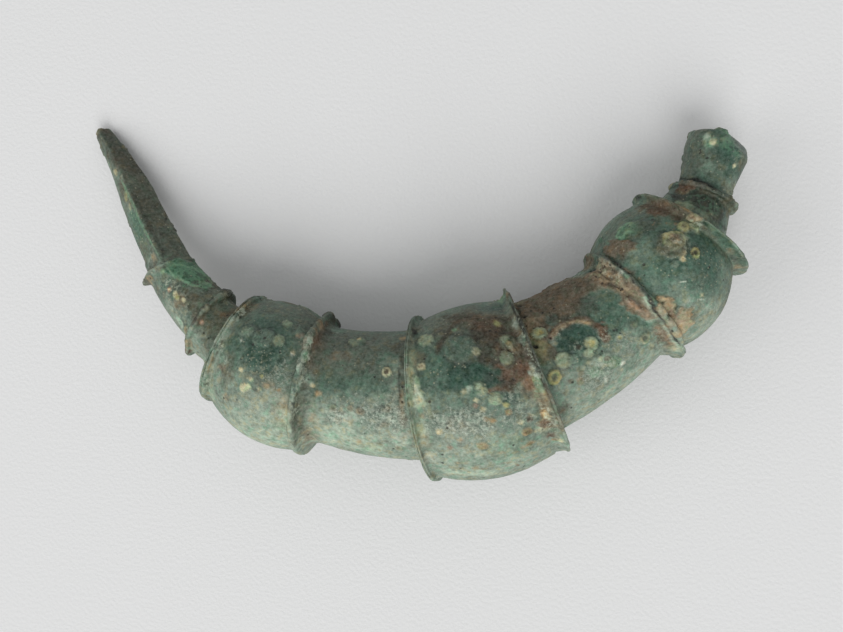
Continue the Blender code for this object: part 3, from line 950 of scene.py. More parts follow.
MIDDLE_BEAD = (
    *stains(
        (GREY, 465, 320, 52, 20, 0.85), (BROWN, 484, 328, 40, 19, 0.9, -12), (BROWN, 497, 352, 14, 16, 0.8),
        (BROWN, 520, 360, 16, 34, 0.85, 22), (TEAL, 454, 360, 38, 30, 0.9), (TEAL, 500, 412, 30, 12, 0.45),
        (SEA, 460, 408, 56, 18, 0.75), (PALE, 478, 440, 62, 22, 0.8), (MINT, 482, 464, 58, 14, 0.15),
        (PINK, 458, 425, 14, 8, 0.2), (TAN, 427, 440, 5, 14, 0.3, 12),
    ),
    *patches(
        (DARK_BROWN, 486, 334, 21, 19, 0.75), (DARK_BROWN, 439, 347, 4, 6, 0.8, -20),
        (DARK_BROWN, 507, 381, 6, 5, 0.75), (DARK_BROWN, 466, 319, 24, 5, 0.55, -8),
        (DARK_BROWN, 505, 365, 10, 18, 0.5, 20), (DARK_BROWN, 488, 357, 8, 8, 0.6),
        (RUST, 488, 324, 12, 8, 0.4), (RUST, 501, 378, 15, 13, 0.9, 10), (RUST, 525, 372, 11, 17, 0.7, 20),
        (DEEP_TEAL, 456, 374, 36, 13, 0.9), (DEEP_TEAL, 480, 371, 10, 11, 0.7),
        (DEEP_TEAL, 435, 388, 12, 8, 0.5), (DEEP_TEAL, 495, 307, 13, 4, 0.8, 12),
        (GREY, 460, 345, 19, 18, 0.85), (LIGHT_MALACHITE, 505, 448, 30, 14, 0.25), (DEEP_TEAL, 490, 379, 8, 9),
        (DEEP_TEAL, 471, 382, 8, 5, 0.9),
    ),
    *stains(
        (DEEP_TEAL, 510, 397, 9, 8, 0.9), (DARK_BROWN, 483, 357, 7, 6, 0.6), (DARK_OLIVE, 490, 378, 6, 6, 0.45),
        (DARK_OLIVE, 472, 384, 5, 3, 0.4), (WHITE, 431, 457, 8, 9, 0.35),
    ),
    *patches((DARK_BROWN, 510, 385, 7, 6, 0.8)),
    *stains(
        (PALE, 521, 407, 7, 8, 0.6), (PALE, 531, 410, 7, 12, 0.7), (MINT, 470, 474, 22, 5),
        (SEA, 432, 385, 9, 8, 0.5), (SEA, 441, 376, 7, 7, 0.5), (TEAL, 521, 438, 7, 7, 0.5),
        (TEAL, 472, 385, 7, 4, 0.6), (CREAM, 541, 428, 7, 7, 0.35),
    ),
    *patches(
        (SEA, 527, 425, 8, 12, 0.5), (OLIVE, 418, 358, 8, 10, 0.7), (MALACHITE, 498, 305, 8, 3, 0.5, 12),
        (SOIL, 529, 385, 6, 12, 0.5, 20),
    ),
    *pools(
        (LICHEN, 411, 372, 3.6, 8, 0.8, 5), (LICHEN, 414, 386, 6, 11, 1, 8), (LICHEN, 418, 399, 9.5, 11),
        lift=0.14,
    ),
    *pools((WHITE, 418, 399, 7.5, 9, 0.4), (WHITE, 414, 388, 4, 8, 0.35, 8)),
    *crusts((RUST, 526, 372, 9, 14, 0.6, 20)),
    *discs(
        (SAGE, 467, 391, 3, 2.6, 0.4), (SAGE, 479, 387, 6, 4.6, 0.85), (SAGE, 485.5, 391, 3.8, 3.4, 0.75),
        (SAGE, 480, 393.5, 5, 2.6, 0.5),
    ),
    *stains((DEEP_TEAL, 473, 381, 9, 7, 0.6)),
    *discs(
        (TEAL, 460, 347, 16, 14, 0.5), (SAGE, 426, 341.5, 9, 5.6, 0.95, 10), (SAGE, 506, 358, 7, 7, 0.6),
        (SAGE, 495.5, 399, 7, 6.4, 0.9), (OLIVE, 507, 343, 8.5, 8.5, 0.8), (SAGE, 504, 341, 4.4, 4, 0.6),
        (SAGE, 509, 347, 3.4, 3, 0.5), (LICHEN, 479, 386, 3.4, 2.8, 0.5), (LICHEN, 495, 399, 4, 3.6, 0.4),
        (OLIVE, 515, 348, 6, 9, 0.4, 10), (OLIVE, 440, 337, 5, 6, 0.3),
    ),
    *warts(
        (CREAM, TAN, 421, 367, 4, 3.6, 0.8), (CREAM, TEAL, 475.5, 351, 3.8, 4, 0.5),
        (ORANGE, TAN, 482, 445.5, 6, 4.4, 0.75), (ORANGE, RUST, 528, 432, 5.6, 4.6, 0.8),
    ),
    *dots(
        (DARK_BROWN, 445, 316, 4, 3, 0.8), (TAN, 415, 362, 3, 4, 0.7), (TAN, 512, 350, 3, 2.4, 0.6),
        (TAN, 421, 417, 2.8, 3, 0.7), (TAN, 523, 448, 4, 2.4, 0.8, 15), (TAN, 515, 452, 3, 2.2, 0.8),
        (TAN, 461, 464, 5, 2, 0.6), (TAN, 475, 467, 3.4, 1.8, 0.6), (TAN, 484, 468, 4, 1.8, 0.6),
        (TAN, 509, 462, 3, 2, 0.7), (TAN, 500, 452, 3, 2.4, 0.55), (TAN, 470, 452, 2.4, 2, 0.5),
        (CREAM, 412, 372, 2.4, 2.4, 0.8), (CREAM, 464, 392, 2.2, 1.8, 0.7), (CREAM, 484, 409, 3, 2.6),
        (CREAM, 475.5, 400, 2.4, 2), (CREAM, 440, 431, 2.8, 2.8), (CREAM, 521, 422, 2.6, 2.6),
        (CREAM, 532, 416, 2.4, 2),
    ),
    *dots((CREAM, 419, 402, 3, 2.4), core=PALE),
    *dots(
        (LIGHT_MALACHITE, 454, 329, 2.8, 2.2), (ORANGE, 507, 344, 3, 3, 0.8), (ORANGE, 486, 418, 3, 2.6, 0.7),
        (ORANGE, 493, 422, 3.4, 2.6, 0.75), (ORANGE, 532, 444, 4.4, 2.6, 0.85, 25),
        (YELLOW, 497, 323, 3.4, 3.4, 0.7), (YELLOW, 506, 405.5, 3, 2.6), (MINT, 469, 388, 2.8, 2.4),
        (PINK, 474.5, 406, 2.8, 2.4), (PINK, 449, 447, 3.4, 2.8, 0.85), (PINK, 460, 440, 3, 2.6, 0.5),
    ),
    *dots((ORANGE, 508, 412.5, 3.6, 3.2), core=YELLOW),
    *dots((RUST, 518, 465, 1.8, 1.4)),
    *dots((RUST, 530, 419, 4, 3.6, 0.75), core=DARK_BROWN),
    Stroke(DARK_BROWN, ((437, 352), (442, 340), (452, 327), (464, 318), (480, 314)), 2.6, 0.7),
    *flecks(
        ("speckle", 446, 370, 30, 18, 0.55), ("speckle", 490, 440, 50, 26, 0.45), ("mottle", 462, 424, 50, 22),
        ("mottle", 512, 416, 20, 24, 0.8), ("crust", 462, 420, 34, 14, 0.4),
        ("crust", 520, 410, 16, 26, 0.4, 20), ("stain", 505, 448, 44, 20, 0.7),
    ),
)

FOURTH_COLLAR = (
    *stains((OLIVE, 520, 330, 8, 34, 0.6, 20), rim_only=True),
    *patches(
        (DARK_OLIVE, 530, 354, 4, 8, 0.5, 20), (SOIL, 519, 304, 6, 6, 0.6), (SOIL, 531, 327, 6, 9, 0.8, 20),
    ),
    *stains((TAN, 545, 405, 7, 30, 0.6, 18)),
    *patches((ORANGE, 544, 411, 3, 6, 0.8, 25), (CREAM, 547, 416, 3, 6, 0.85, 35)),
    *patches((GREY, 567, 449, 3, 7, 0.7), rim_only=True),
    *crusts(
        (LIGHT_MALACHITE, 502, 300, 6, 7, 0.7), (LIGHT_MALACHITE, 538, 383, 5, 10, 0.7, 20),
        (PALE, 515, 323, 4, 8, 0.9, 25), (PALE, 535, 370, 5, 6, 0.9, 20), (SEA, 522, 340, 4, 7, 0.7, 25),
        (RUST, 546, 424, 6, 6, 0.8), (RUST, 551, 434, 5, 4, 0.85), (ORANGE, 555, 440, 4, 3, 0.8, 20),
        (CREAM, 561, 440, 4.4, 4, 0.95),
    ),
    Stroke(BLACK, ((511, 303), (520, 322), (531, 347), (538, 366), (545, 385)), 1.9, 0.85),
    Stroke(DARK_BROWN, ((545, 385), (552, 402), (562, 423), (568, 436)), 1.9, 0.75),
    Stroke(MINT, ((552, 400), (559, 418), (567, 436)), 1.1, 0.55, rim_only=True),
    *flecks(
        ("stain", 548, 415, 10, 30, 0.9, 20), ("crust", 528, 350, 5, 50, 0.6, 20),
        ("crust", 550, 420, 8, 26, 0.6, 25),
    ),
)

RIGHT_BAR = (
    *stains(
        (PALE, 600, 398, 50, 22, 0.6, 35), (MINT, 612, 400, 50, 12, 0.25, 36),
        (TEAL, 600, 330, 44, 26, 0.7, 25), (TEAL, 601, 313, 16, 8, 0.6, 20), (BROWN, 560, 412, 8, 16, 0.6, 20),
    ),
    *patches(
        (SOIL, 540, 296, 20, 9, 0.5, 32), (SOIL, 572, 283, 14, 12, 0.5, 32), (OLIVE, 548, 350, 8, 18, 0.6),
    ),
    *stains((PALE, 567, 380, 13, 15, 0.55), (PALE, 630, 340, 20, 12, 0.8, 30)),
    *patches(
        (DARK_BROWN, 562, 318, 14, 5, 0.7, 15), (TEAL, 566, 345, 8, 7, 0.5), (TEAL, 564, 359, 5, 2, 0.45, 25),
    ),
    *stains((MINT, 641, 335, 8, 8, 0.7), (SEA, 631, 366, 9, 8, 0.9)),
    *crusts(
        (BROWN, 552, 296, 46, 24, 0.95, 30), (BROWN, 537, 325, 16, 16, 0.85),
        (BROWN, 545, 350, 9, 16, 0.55, 12), (DARK_BROWN, 585, 310, 12, 8, 0.45, 25),
        (PINK, 553, 333, 4, 5, 0.8, -20), (PINK, 606, 338, 4, 4, 0.5), (RUST, 602, 331, 6, 8, 0.8, 15),
        (RUST, 577, 347, 7, 6, 0.9), (MINT, 602, 366, 17, 12, 0.7, 10),
        (LIGHT_MALACHITE, 612, 361, 8, 6, 0.8, 20), (LIGHT_MALACHITE, 596, 372, 8, 6, 0.6, -20),
    ),
    *pools((DEEP_TEAL, 577, 338, 20, 15, 0.95, -8), lift=-0.03),
    *stains(
        (TAN, 519, 305, 6, 6, 0.4), (TAN, 532, 328, 7, 10, 0.5, 20), (YELLOW, 538, 346, 7, 16, 0.35, 20),
        (SOIL, 561, 427, 7, 7, 0.6), (MINT, 646, 336, 13, 9, 0.85), (DARK_BROWN, 562, 327, 7, 4, 0.6),
        (DARK_BROWN, 536, 358, 5, 6, 0.6), (BROWN, 553, 398, 7, 8, 0.6), (BROWN, 562, 410, 6, 10, 0.6, 20),
    ),
    *discs((SAGE, 592, 344, 7.4, 7, 0.9), (SAGE, 540, 334.5, 8, 6, 0.9, 12), core=YELLOW),
    *discs((SAGE, 589, 353.5, 5.4, 4.4, 0.85), (SAGE, 563, 360, 8.6, 8, 0.85), (SEA, 574, 359, 5.6, 5, 0.7)),
    *discs((YELLOW, 553.5, 377, 6.4, 7.6, 0.95), core=OLIVE),
    *warts(
        (PALE, YELLOW, 619, 337, 4.4, 4.2), (TAN, YELLOW, 633.5, 326, 4, 4, 0.7),
        (CREAM, BROWN, 645, 338, 5.6, 6),
    ),
    *dots(
        (DARK_BROWN, 579, 347, 3.6, 3.4, 0.8), (PALE, 554, 344, 3.4, 3, 0.9), (TEAL, 606, 369, 3.4, 3, 0.7),
        (RUST, 607, 357, 3, 2.6, 0.7), (RUST, 572, 381, 2.6, 3, 0.75), (CREAM, 600, 358, 2.2, 2.6, 0.8),
        (WHITE, 622, 364, 3, 2.4), (WHITE, 606, 379, 2, 3.4, 1, 35), (TAN, 580, 382, 4.4, 4, 0.75),
        (TAN, 581, 374, 3, 2.6, 0.5),
    ),
    *dots((BLACK, 519, 307, 2.4, 2.2), (BLACK, 535.5, 346, 3, 2.2), lift=-0.2),
    *dots((BLACK, 525.5, 318, 1.8, 1.6), lift=-0.15),
    *dots((BLACK, 617, 330, 1.6, 1.8), lift=-0.08),
    Stroke(RUST, (
        (551, 337), (556, 328), (563, 324), (575, 320), (588, 321), (599, 328), (606, 340),
    ), 3.6, 0.75, lift=0.05),
    Stroke(TAN, ((553, 335), (558, 328), (565, 325)), 2.2, 0.7, lift=0.06),
    Stroke(TAN, ((568, 323), (577, 321.5), (590, 323)), 1.5, 0.8, lift=0.05),
    *flecks(
        ("crust", 555, 331, 7, 9, 0.5), ("crust", 602, 333, 7, 10, 0.5), ("crust", 576, 347, 9, 8, 0.4),
        ("pitting", 535, 320, 20, 30, 0.8), ("mottle", 598, 376, 30, 20, 0.9, 25),
        ("mottle", 625, 345, 20, 18, 0.6), ("crust", 604, 366, 20, 13, 0.5, 15),
        ("speckle", 612, 352, 30, 22, 0.6, 20), ("stain", 580, 395, 26, 12, 0.5, 30),
    ),
)

FIFTH_COLLAR = (
    *stains((PALE, 660, 332, 12, 24, 0.9, 38), rim_only=True),
    *stains((CREAM, 673, 348, 5, 8, 0.5, 35), (TAN, 671, 345, 5, 9, 0.6, 35), (SOIL, 588, 262, 8, 11, 0.8)),
    *patches((RUST, 663, 338, 6, 12, 0.65, 35)),
    *stains((SOIL, 664, 332, 7, 13, 0.8, 35), (TEAL, 643, 321, 7, 6, 0.5)),
    *patches((MINT, 649, 318, 5, 4, 0.6)),
    *patches((SEA, 681, 352, 6, 5, 0.6), rim_only=True),
    *crusts(
        (SOIL, 612, 277, 32, 14, 0.95, -38), (SOIL, 637, 303, 18, 11, 0.85, -40),
        (TAN, 606, 274, 16, 9, 0.65, -38), (TAN, 625, 288, 12, 5, 0.7, -38), (PINK, 634, 304, 10, 6, 0.7, -35),
        (PINK, 645, 312, 6, 4, 0.3, -30),
    ),
    *stains((BROWN, 614, 268, 7, 5, 0.5), (BROWN, 587, 258, 5, 7, 0.6)),
    *dots((BLACK, 592.5, 271, 3.6, 2.6, 1, -20), lift=-0.22),
    *dots((DARK_BROWN, 591, 261, 2.4, 2), lift=-0.12),
    *dots((DARK_BROWN, 606, 266, 2.6, 1.8), (DARK_BROWN, 614, 278, 2.6, 1.8), lift=-0.1),
    *dots((LIGHT_MALACHITE, 627, 276, 2.6, 2.2), (WHITE, 621.5, 271, 2.2, 2)),
    Stroke(DARK_BROWN, ((606, 285), (614, 286), (622, 289), (633, 298), (642, 306)), 1.8, 0.85, lift=-0.08),
    Stroke(MINT, ((645, 298), (657, 315), (668, 331), (680, 350)), 2, 0.75, rim_only=True),
    Stroke(BLACK, (
        (603, 257), (618, 265), (633, 279), (648, 295), (656, 309), (663, 321), (671, 333), (679, 344),
    ), 1.5, 0.9),
    Stroke(DEEP_TEAL, ((612, 261), (628, 272), (642, 286)), 2, 0.6, rim_only=True),
    *flecks(("pitting", 610, 275, 34, 16, 1, -38), ("crust", 612, 272, 34, 9, 0.4, -38)),
)

RIGHT_BEAD = (
    # The two SEA stains at (640, 252) and (676, 290) are a painted highlight: the satin sheen of the bead
    *stains(
        (TEAL, 672, 262, 70, 66, 0.95), (SEA, 640, 252, 15, 13, 0.85), (SEA, 676, 290, 16, 14, 0.85),
        (PALE, 700, 324, 30, 20, 0.75, 40), (OLIVE, 733, 285, 10, 34, 0.5, -15),
        (GREY, 615, 232, 24, 18, 0.6, 40),
    ),
    *patches(
        (DEEP_TEAL, 700, 262, 26, 34, 0.55), (DEEP_TEAL, 640, 226, 24, 14, 0.4, 30),
        (PINK, 619, 247, 10, 4, 0.3, -15), (PINK, 664, 300, 5, 5, 0.5),
    ),
    *stains((SEA, 698, 284, 14, 16, 0.65), (PALE, 688, 306, 11, 9, 0.8), (OLIVE, 686, 206, 11, 7, 0.7, -25)),
    *patches(
        (BROWN, 660, 209, 24, 12, 0.95, -12), (BROWN, 684, 214, 15, 9, 0.8, -25), (RUST, 658, 209, 12, 7, 0.6),
        (DARK_BROWN, 645, 226, 16, 6, 0.4, 20), (MALACHITE, 601, 240, 3, 8, 0.7, 25),
        (OLIVE, 692, 316, 6, 10, 0.55, -20), (BLACK, 607, 252, 8, 2.4, 0.6, -35),
    ),
    *crusts((BROWN, 619, 247, 19, 9, 0.9, -15)),
    *stains((DARK_BROWN, 621, 256, 8, 6, 0.5)),
    *crusts((MALACHITE, 624, 231, 10, 6, 0.7, 40)),
    *stains(
        (LIGHT_MALACHITE, 633, 228, 8, 7, 0.4), (TEAL, 662, 287, 7, 8, 0.7), (SEA, 723, 272, 9, 18, 0.7),
        (SEA, 693, 327, 6, 9, 0.8),
    ),
    *crusts(
        (TAN, 664, 306, 10, 12, 1, -32), (TAN, 681, 326, 9, 15, 1, -8), (TAN, 685, 313, 9, 6, 0.75, 5),
        (TAN, 671, 318, 7, 9, 0.9, -20),
    ),
    *patches(
        (PINK, 681, 325, 6, 9, 0.6), (PINK, 672, 316, 6, 7, 0.7), (PINK, 675, 319, 6, 6, 0.8),
        (CREAM, 681, 327, 5, 7, 0.35), (CREAM, 673, 318, 5, 5, 0.4), (CREAM, 660, 303, 3, 4, 0.25),
    ),
    *discs((OLIVE, 672, 246, 15, 13, 0.8), (OLIVE, 690, 225, 12, 9, 0.4, 20), (SEA, 675, 263, 4, 3.6, 0.8)),
    *warts(
        (YELLOW, BROWN, 673.5, 240, 11, 10.5, 0.65), (YELLOW, BROWN, 684, 227, 6, 5.4, 0.75),
        (YELLOW, OLIVE, 693, 227, 5.6, 5, 0.75), (TAN, BROWN, 693, 218, 5.6, 5, 0.85),
        (YELLOW, DARK_BROWN, 696, 253, 5, 5.4, 0.95), (CREAM, ORANGE, 684, 253, 3.4, 3, 0.5),
        (CREAM, TAN, 683.5, 259, 3.2, 3, 0.7), (BROWN, TAN, 673, 314, 4, 4.4, 0.45),
    ),
    *crusts((CREAM, 664, 237, 2, 4, 0.4), (CREAM, 672, 250, 5, 1.8, 0.4), (BROWN, 674, 240, 7.6, 7, 0.9)),
    *stains(
        (OLIVE, 681, 247, 6, 8, 0.7), (OLIVE, 671, 250, 8, 5, 0.7), (SAGE, 690, 226, 9, 8, 0.6),
        (SAGE, 682, 236, 5, 5, 0.6),
    ),
    *dots(
        (TAN, 671, 238, 2, 2), (TAN, 677, 242, 2, 1.8), (TAN, 674, 244, 1.6, 1.6),
        (TAN, 700, 217, 3.6, 3.6, 0.8), (DARK_BROWN, 663, 303, 2.4, 1.6, 0.9),
        (DARK_BROWN, 675, 309, 2, 2.6, 0.8), (CREAM, 702, 295, 2.2, 2), (WHITE, 682.5, 282, 4, 0.9, 0.8),
        (WHITE, 700, 300, 3.4, 0.9, 0.6),
    ),
    Stroke(LIGHT_MALACHITE, (
        (617, 238), (622, 238), (629, 231), (633, 223), (628, 223), (620, 229), (617, 237),
    ), 1.2, 0.9, lift=0.04),
    *flecks(
        ("speckle", 698, 270, 34, 34, 0.55), ("speckle", 690, 306, 30, 20, 0.7),
        ("stain", 706, 270, 28, 36, 0.5), ("stain", 672, 225, 30, 16, 0.8, -20),
        ("crust", 676, 240, 16, 15, 0.45), ("crust", 695, 225, 12, 9, 0.4),
    ),
)

SIXTH_COLLAR = (
    *stains((OLIVE, 662, 198, 26, 6, 0.8), rim_only=True),
    *patches((DARK_OLIVE, 639, 199, 6, 6, 0.8), rim_only=True),
    *patches((BROWN, 664, 199, 12, 5, 0.6, -5), (TAN, 741, 266, 6, 5, 0.7)),
    *dots((TAN, 734, 250, 6, 6, 0.4), lift=0.0),
    *stains((SAGE, 686, 206, 11, 6, 0.7, -25), (SAGE, 713, 218, 7, 6, 0.35, -40)),
    *dots((BLACK, 746, 253, 1.6, 1.6)),
    Stroke(TAN, ((668, 195), (680, 200), (695, 208), (708, 217), (720, 228)), 3, 0.8, rim_only=True),
    Stroke(ORANGE, ((676, 203), (690, 211), (700, 218)), 2.2, 0.4),
    Stroke(TEAL, ((716, 226), (728, 238), (738, 250), (744, 262)), 5.5, 0.85),
    Stroke(PALE, ((712, 219), (726, 233), (737, 247), (744, 259)), 1.2, 0.6, rim_only=True),
    Stroke(DARK_OLIVE, ((640, 193), (662, 192), (684, 199), (705, 211), (725, 228), (741, 248)), 1.4, 0.7),
    Stroke(OLIVE, ((700, 226), (714, 240), (726, 256)), 3, 0.5),
    *stains((SAGE, 694, 224, 7, 6, 0.45), (SAGE, 704, 216, 7, 4, 0.4, -40), (SAGE, 715, 227, 5, 4, 0.25, -45)),
)

RIGHT_NECK = (
    *stains((DEEP_TEAL, 705, 198, 36, 22, 0.95, -20), (OLIVE, 728, 222, 6, 9, 0.5)),
    *patches(
        (DARK_OLIVE, 703, 203, 26, 13, 0.85, -25), (OLIVE, 728, 206, 10, 10, 0.7),
        (OLIVE, 715, 192, 16, 5, 0.5, -20), (BROWN, 680, 190, 8, 4, 0.8, 25), (TAN, 683, 192, 5, 3, 0.45, 25),
    ),
    *patches((OLIVE, 735, 209, 5, 4, 0.8), rim_only=True),
    *crusts((RUST, 688, 186, 14, 6, 0.9, -10)),
    Stroke(BLACK, (
        (675, 182), (681, 178.5), (688, 179.5), (696, 179), (703, 183), (712, 187),
    ), 1.9, 0.95, lift=-0.08),
    *stains((DARK_OLIVE, 712, 190, 30, 9, 0.7, -28), rim_only=True),
    Stroke(DARK_OLIVE, ((703, 184), (716, 190), (728, 198), (733, 204)), 1.8, 0.6),
    *flecks(("veins", 706, 204, 22, 12, 0.5, -25)),
)

STEM = (
    *stains((GREY, 712, 158, 40, 36, 0.95), (DEEP_TEAL, 714, 158, 30, 30, 0.35)),
    *patches(
        (DEEP_TEAL, 738, 160, 14, 20, 0.55, -15), (DEEP_TEAL, 715, 132, 16, 5, 0.6, -8),
        (MALACHITE, 732, 143, 13, 8, 0.5, -25),
    ),
    *stains((DEEP_TEAL, 733, 150, 18, 13, 0.9, -20), (DEEP_TEAL, 743, 149, 9, 11, 0.8)),
    *patches(
        (SEA, 706, 167, 9, 7, 0.6), (DARK_BROWN, 699, 166, 4, 5, 0.35), (OLIVE, 742, 162, 5, 9, 0.6, -15),
        (OLIVE, 731, 189, 5, 6, 0.6),
    ),
    *crusts((LIGHT_MALACHITE, 709, 141, 7.6, 5.4, 0.45, -10), (SEA, 728, 139, 8, 4, 0.4, 28)),
    *dots(
        (MINT, 706, 138, 3, 4.4, 0.7, -20), (CREAM, 713, 140.5, 3, 2.4), (CREAM, 734, 166, 2, 2),
        (LIGHT_MALACHITE, 728, 134, 7, 1.6, 0.5, -30),
    ),
    *dots((BLACK, 749, 155, 3, 1.4), lift=-0.2),
    *dots((DARK_OLIVE, 683, 153, 2.2, 2)),
    *flecks(
        ("veins", 732, 146, 18, 10, 0.7, -25), ("stain", 725, 172, 14, 14, 0.4),
        ("crust", 738, 152, 12, 18, 0.2), ("crust", 709, 141, 9, 7, 0.4),
    ),
)

PATINA = (
    *FOOT, *LEFT_STEM, *LEFT_NECK, *LEFT_BEAD, *SECOND_COLLAR_PAIR, *LEFT_BAR, *MIDDLE_BEAD, *THIRD_COLLAR,
    *FOURTH_COLLAR, *RIGHT_BAR, *RIGHT_BEAD, *FIFTH_COLLAR, *STEM, *RIGHT_NECK, *SIXTH_COLLAR,
)


def put(name: str, data: bpy.types.ID) -> bpy.types.Object:
    """Put a new object with some data in the scene."""
    thing = bpy.data.objects.new(name, data)
    bpy.context.scene.collection.objects.link(thing)
    return thing


@dataclass(frozen=True)
class Light:
    """A wide soft light, aimed at the bow."""

    name: str
    place: tuple[float, float, float]
    size: float
    power: float

    def make(self) -> None:
        """Put the light in the scene."""
        data = bpy.data.lights.new(self.name, "AREA")
        data.shape = "DISK"
        data.size = self.size
        data.energy = self.power
        light = put(self.name, data)
        light.location = self.place
        light.rotation_euler = Vector(self.place).to_track_quat("Z", "Y").to_euler()


@dataclass(frozen=True)
class Studio:
    """Pale table, a soft light from the near side, a weaker one from the left, and a pale surround."""

    lights: tuple[Light, ...] = (
        Light("window_light", (0.25, -1.5, 1.65), 1.8, 31.6),
        Light("side_light", (-1.7, -0.5, 1.1), 1.4, 10.6),
    )
    surround_colour: tuple[float, float, float, float] = (0.97, 0.98, 1.0, 1.0)
    surround: float = 0.52
    floor_size: float = 1.5
    floor_colour: tuple[int, int, int] = (219, 219, 218)
    floor_roughness: float = 0.9
    floor_gloss: float = 0.1
    floor_grain: Cloud = Cloud(2600.0, 3.0)
    grain_strength: float = 0.6
    grain_depth: float = 0.0001

    def make(self) -> None:
        """Make the table, the lights and the surround."""
        self.make_floor()
        for light in self.lights:
            light.make()
        world = bpy.data.worlds.new("pale_surround")
        world.use_nodes = True
        background = world.node_tree.nodes["Background"]
        background.inputs["Color"].default_value = self.surround_colour
        background.inputs["Strength"].default_value = self.surround
        bpy.context.scene.world = world
        bpy.context.scene.view_settings.view_transform = "Standard"

    def make_floor(self) -> None:
        """A wide sheet of pale card."""
        mesh = bmesh.new()
        bmesh.ops.create_grid(mesh, x_segments=2, y_segments=2, size=self.floor_size)
        data = bpy.data.meshes.new("pale_table")
        mesh.to_mesh(data)
        mesh.free()
        data.materials.append(self.card())
        put("pale_table", data)

    def card(self) -> bpy.types.Material:
        """Matt pale card with a faint grain."""
        sheet = NodeSheet("pale_card")
        return sheet.shade({
            "Base Color": (*linear(self.floor_colour), 1.0),
            "Roughness": self.floor_roughness,
            "Specular IOR Level": self.floor_gloss,
            "Normal": sheet.bump(sheet.noise(self.floor_grain), self.grain_strength, self.grain_depth),
        })


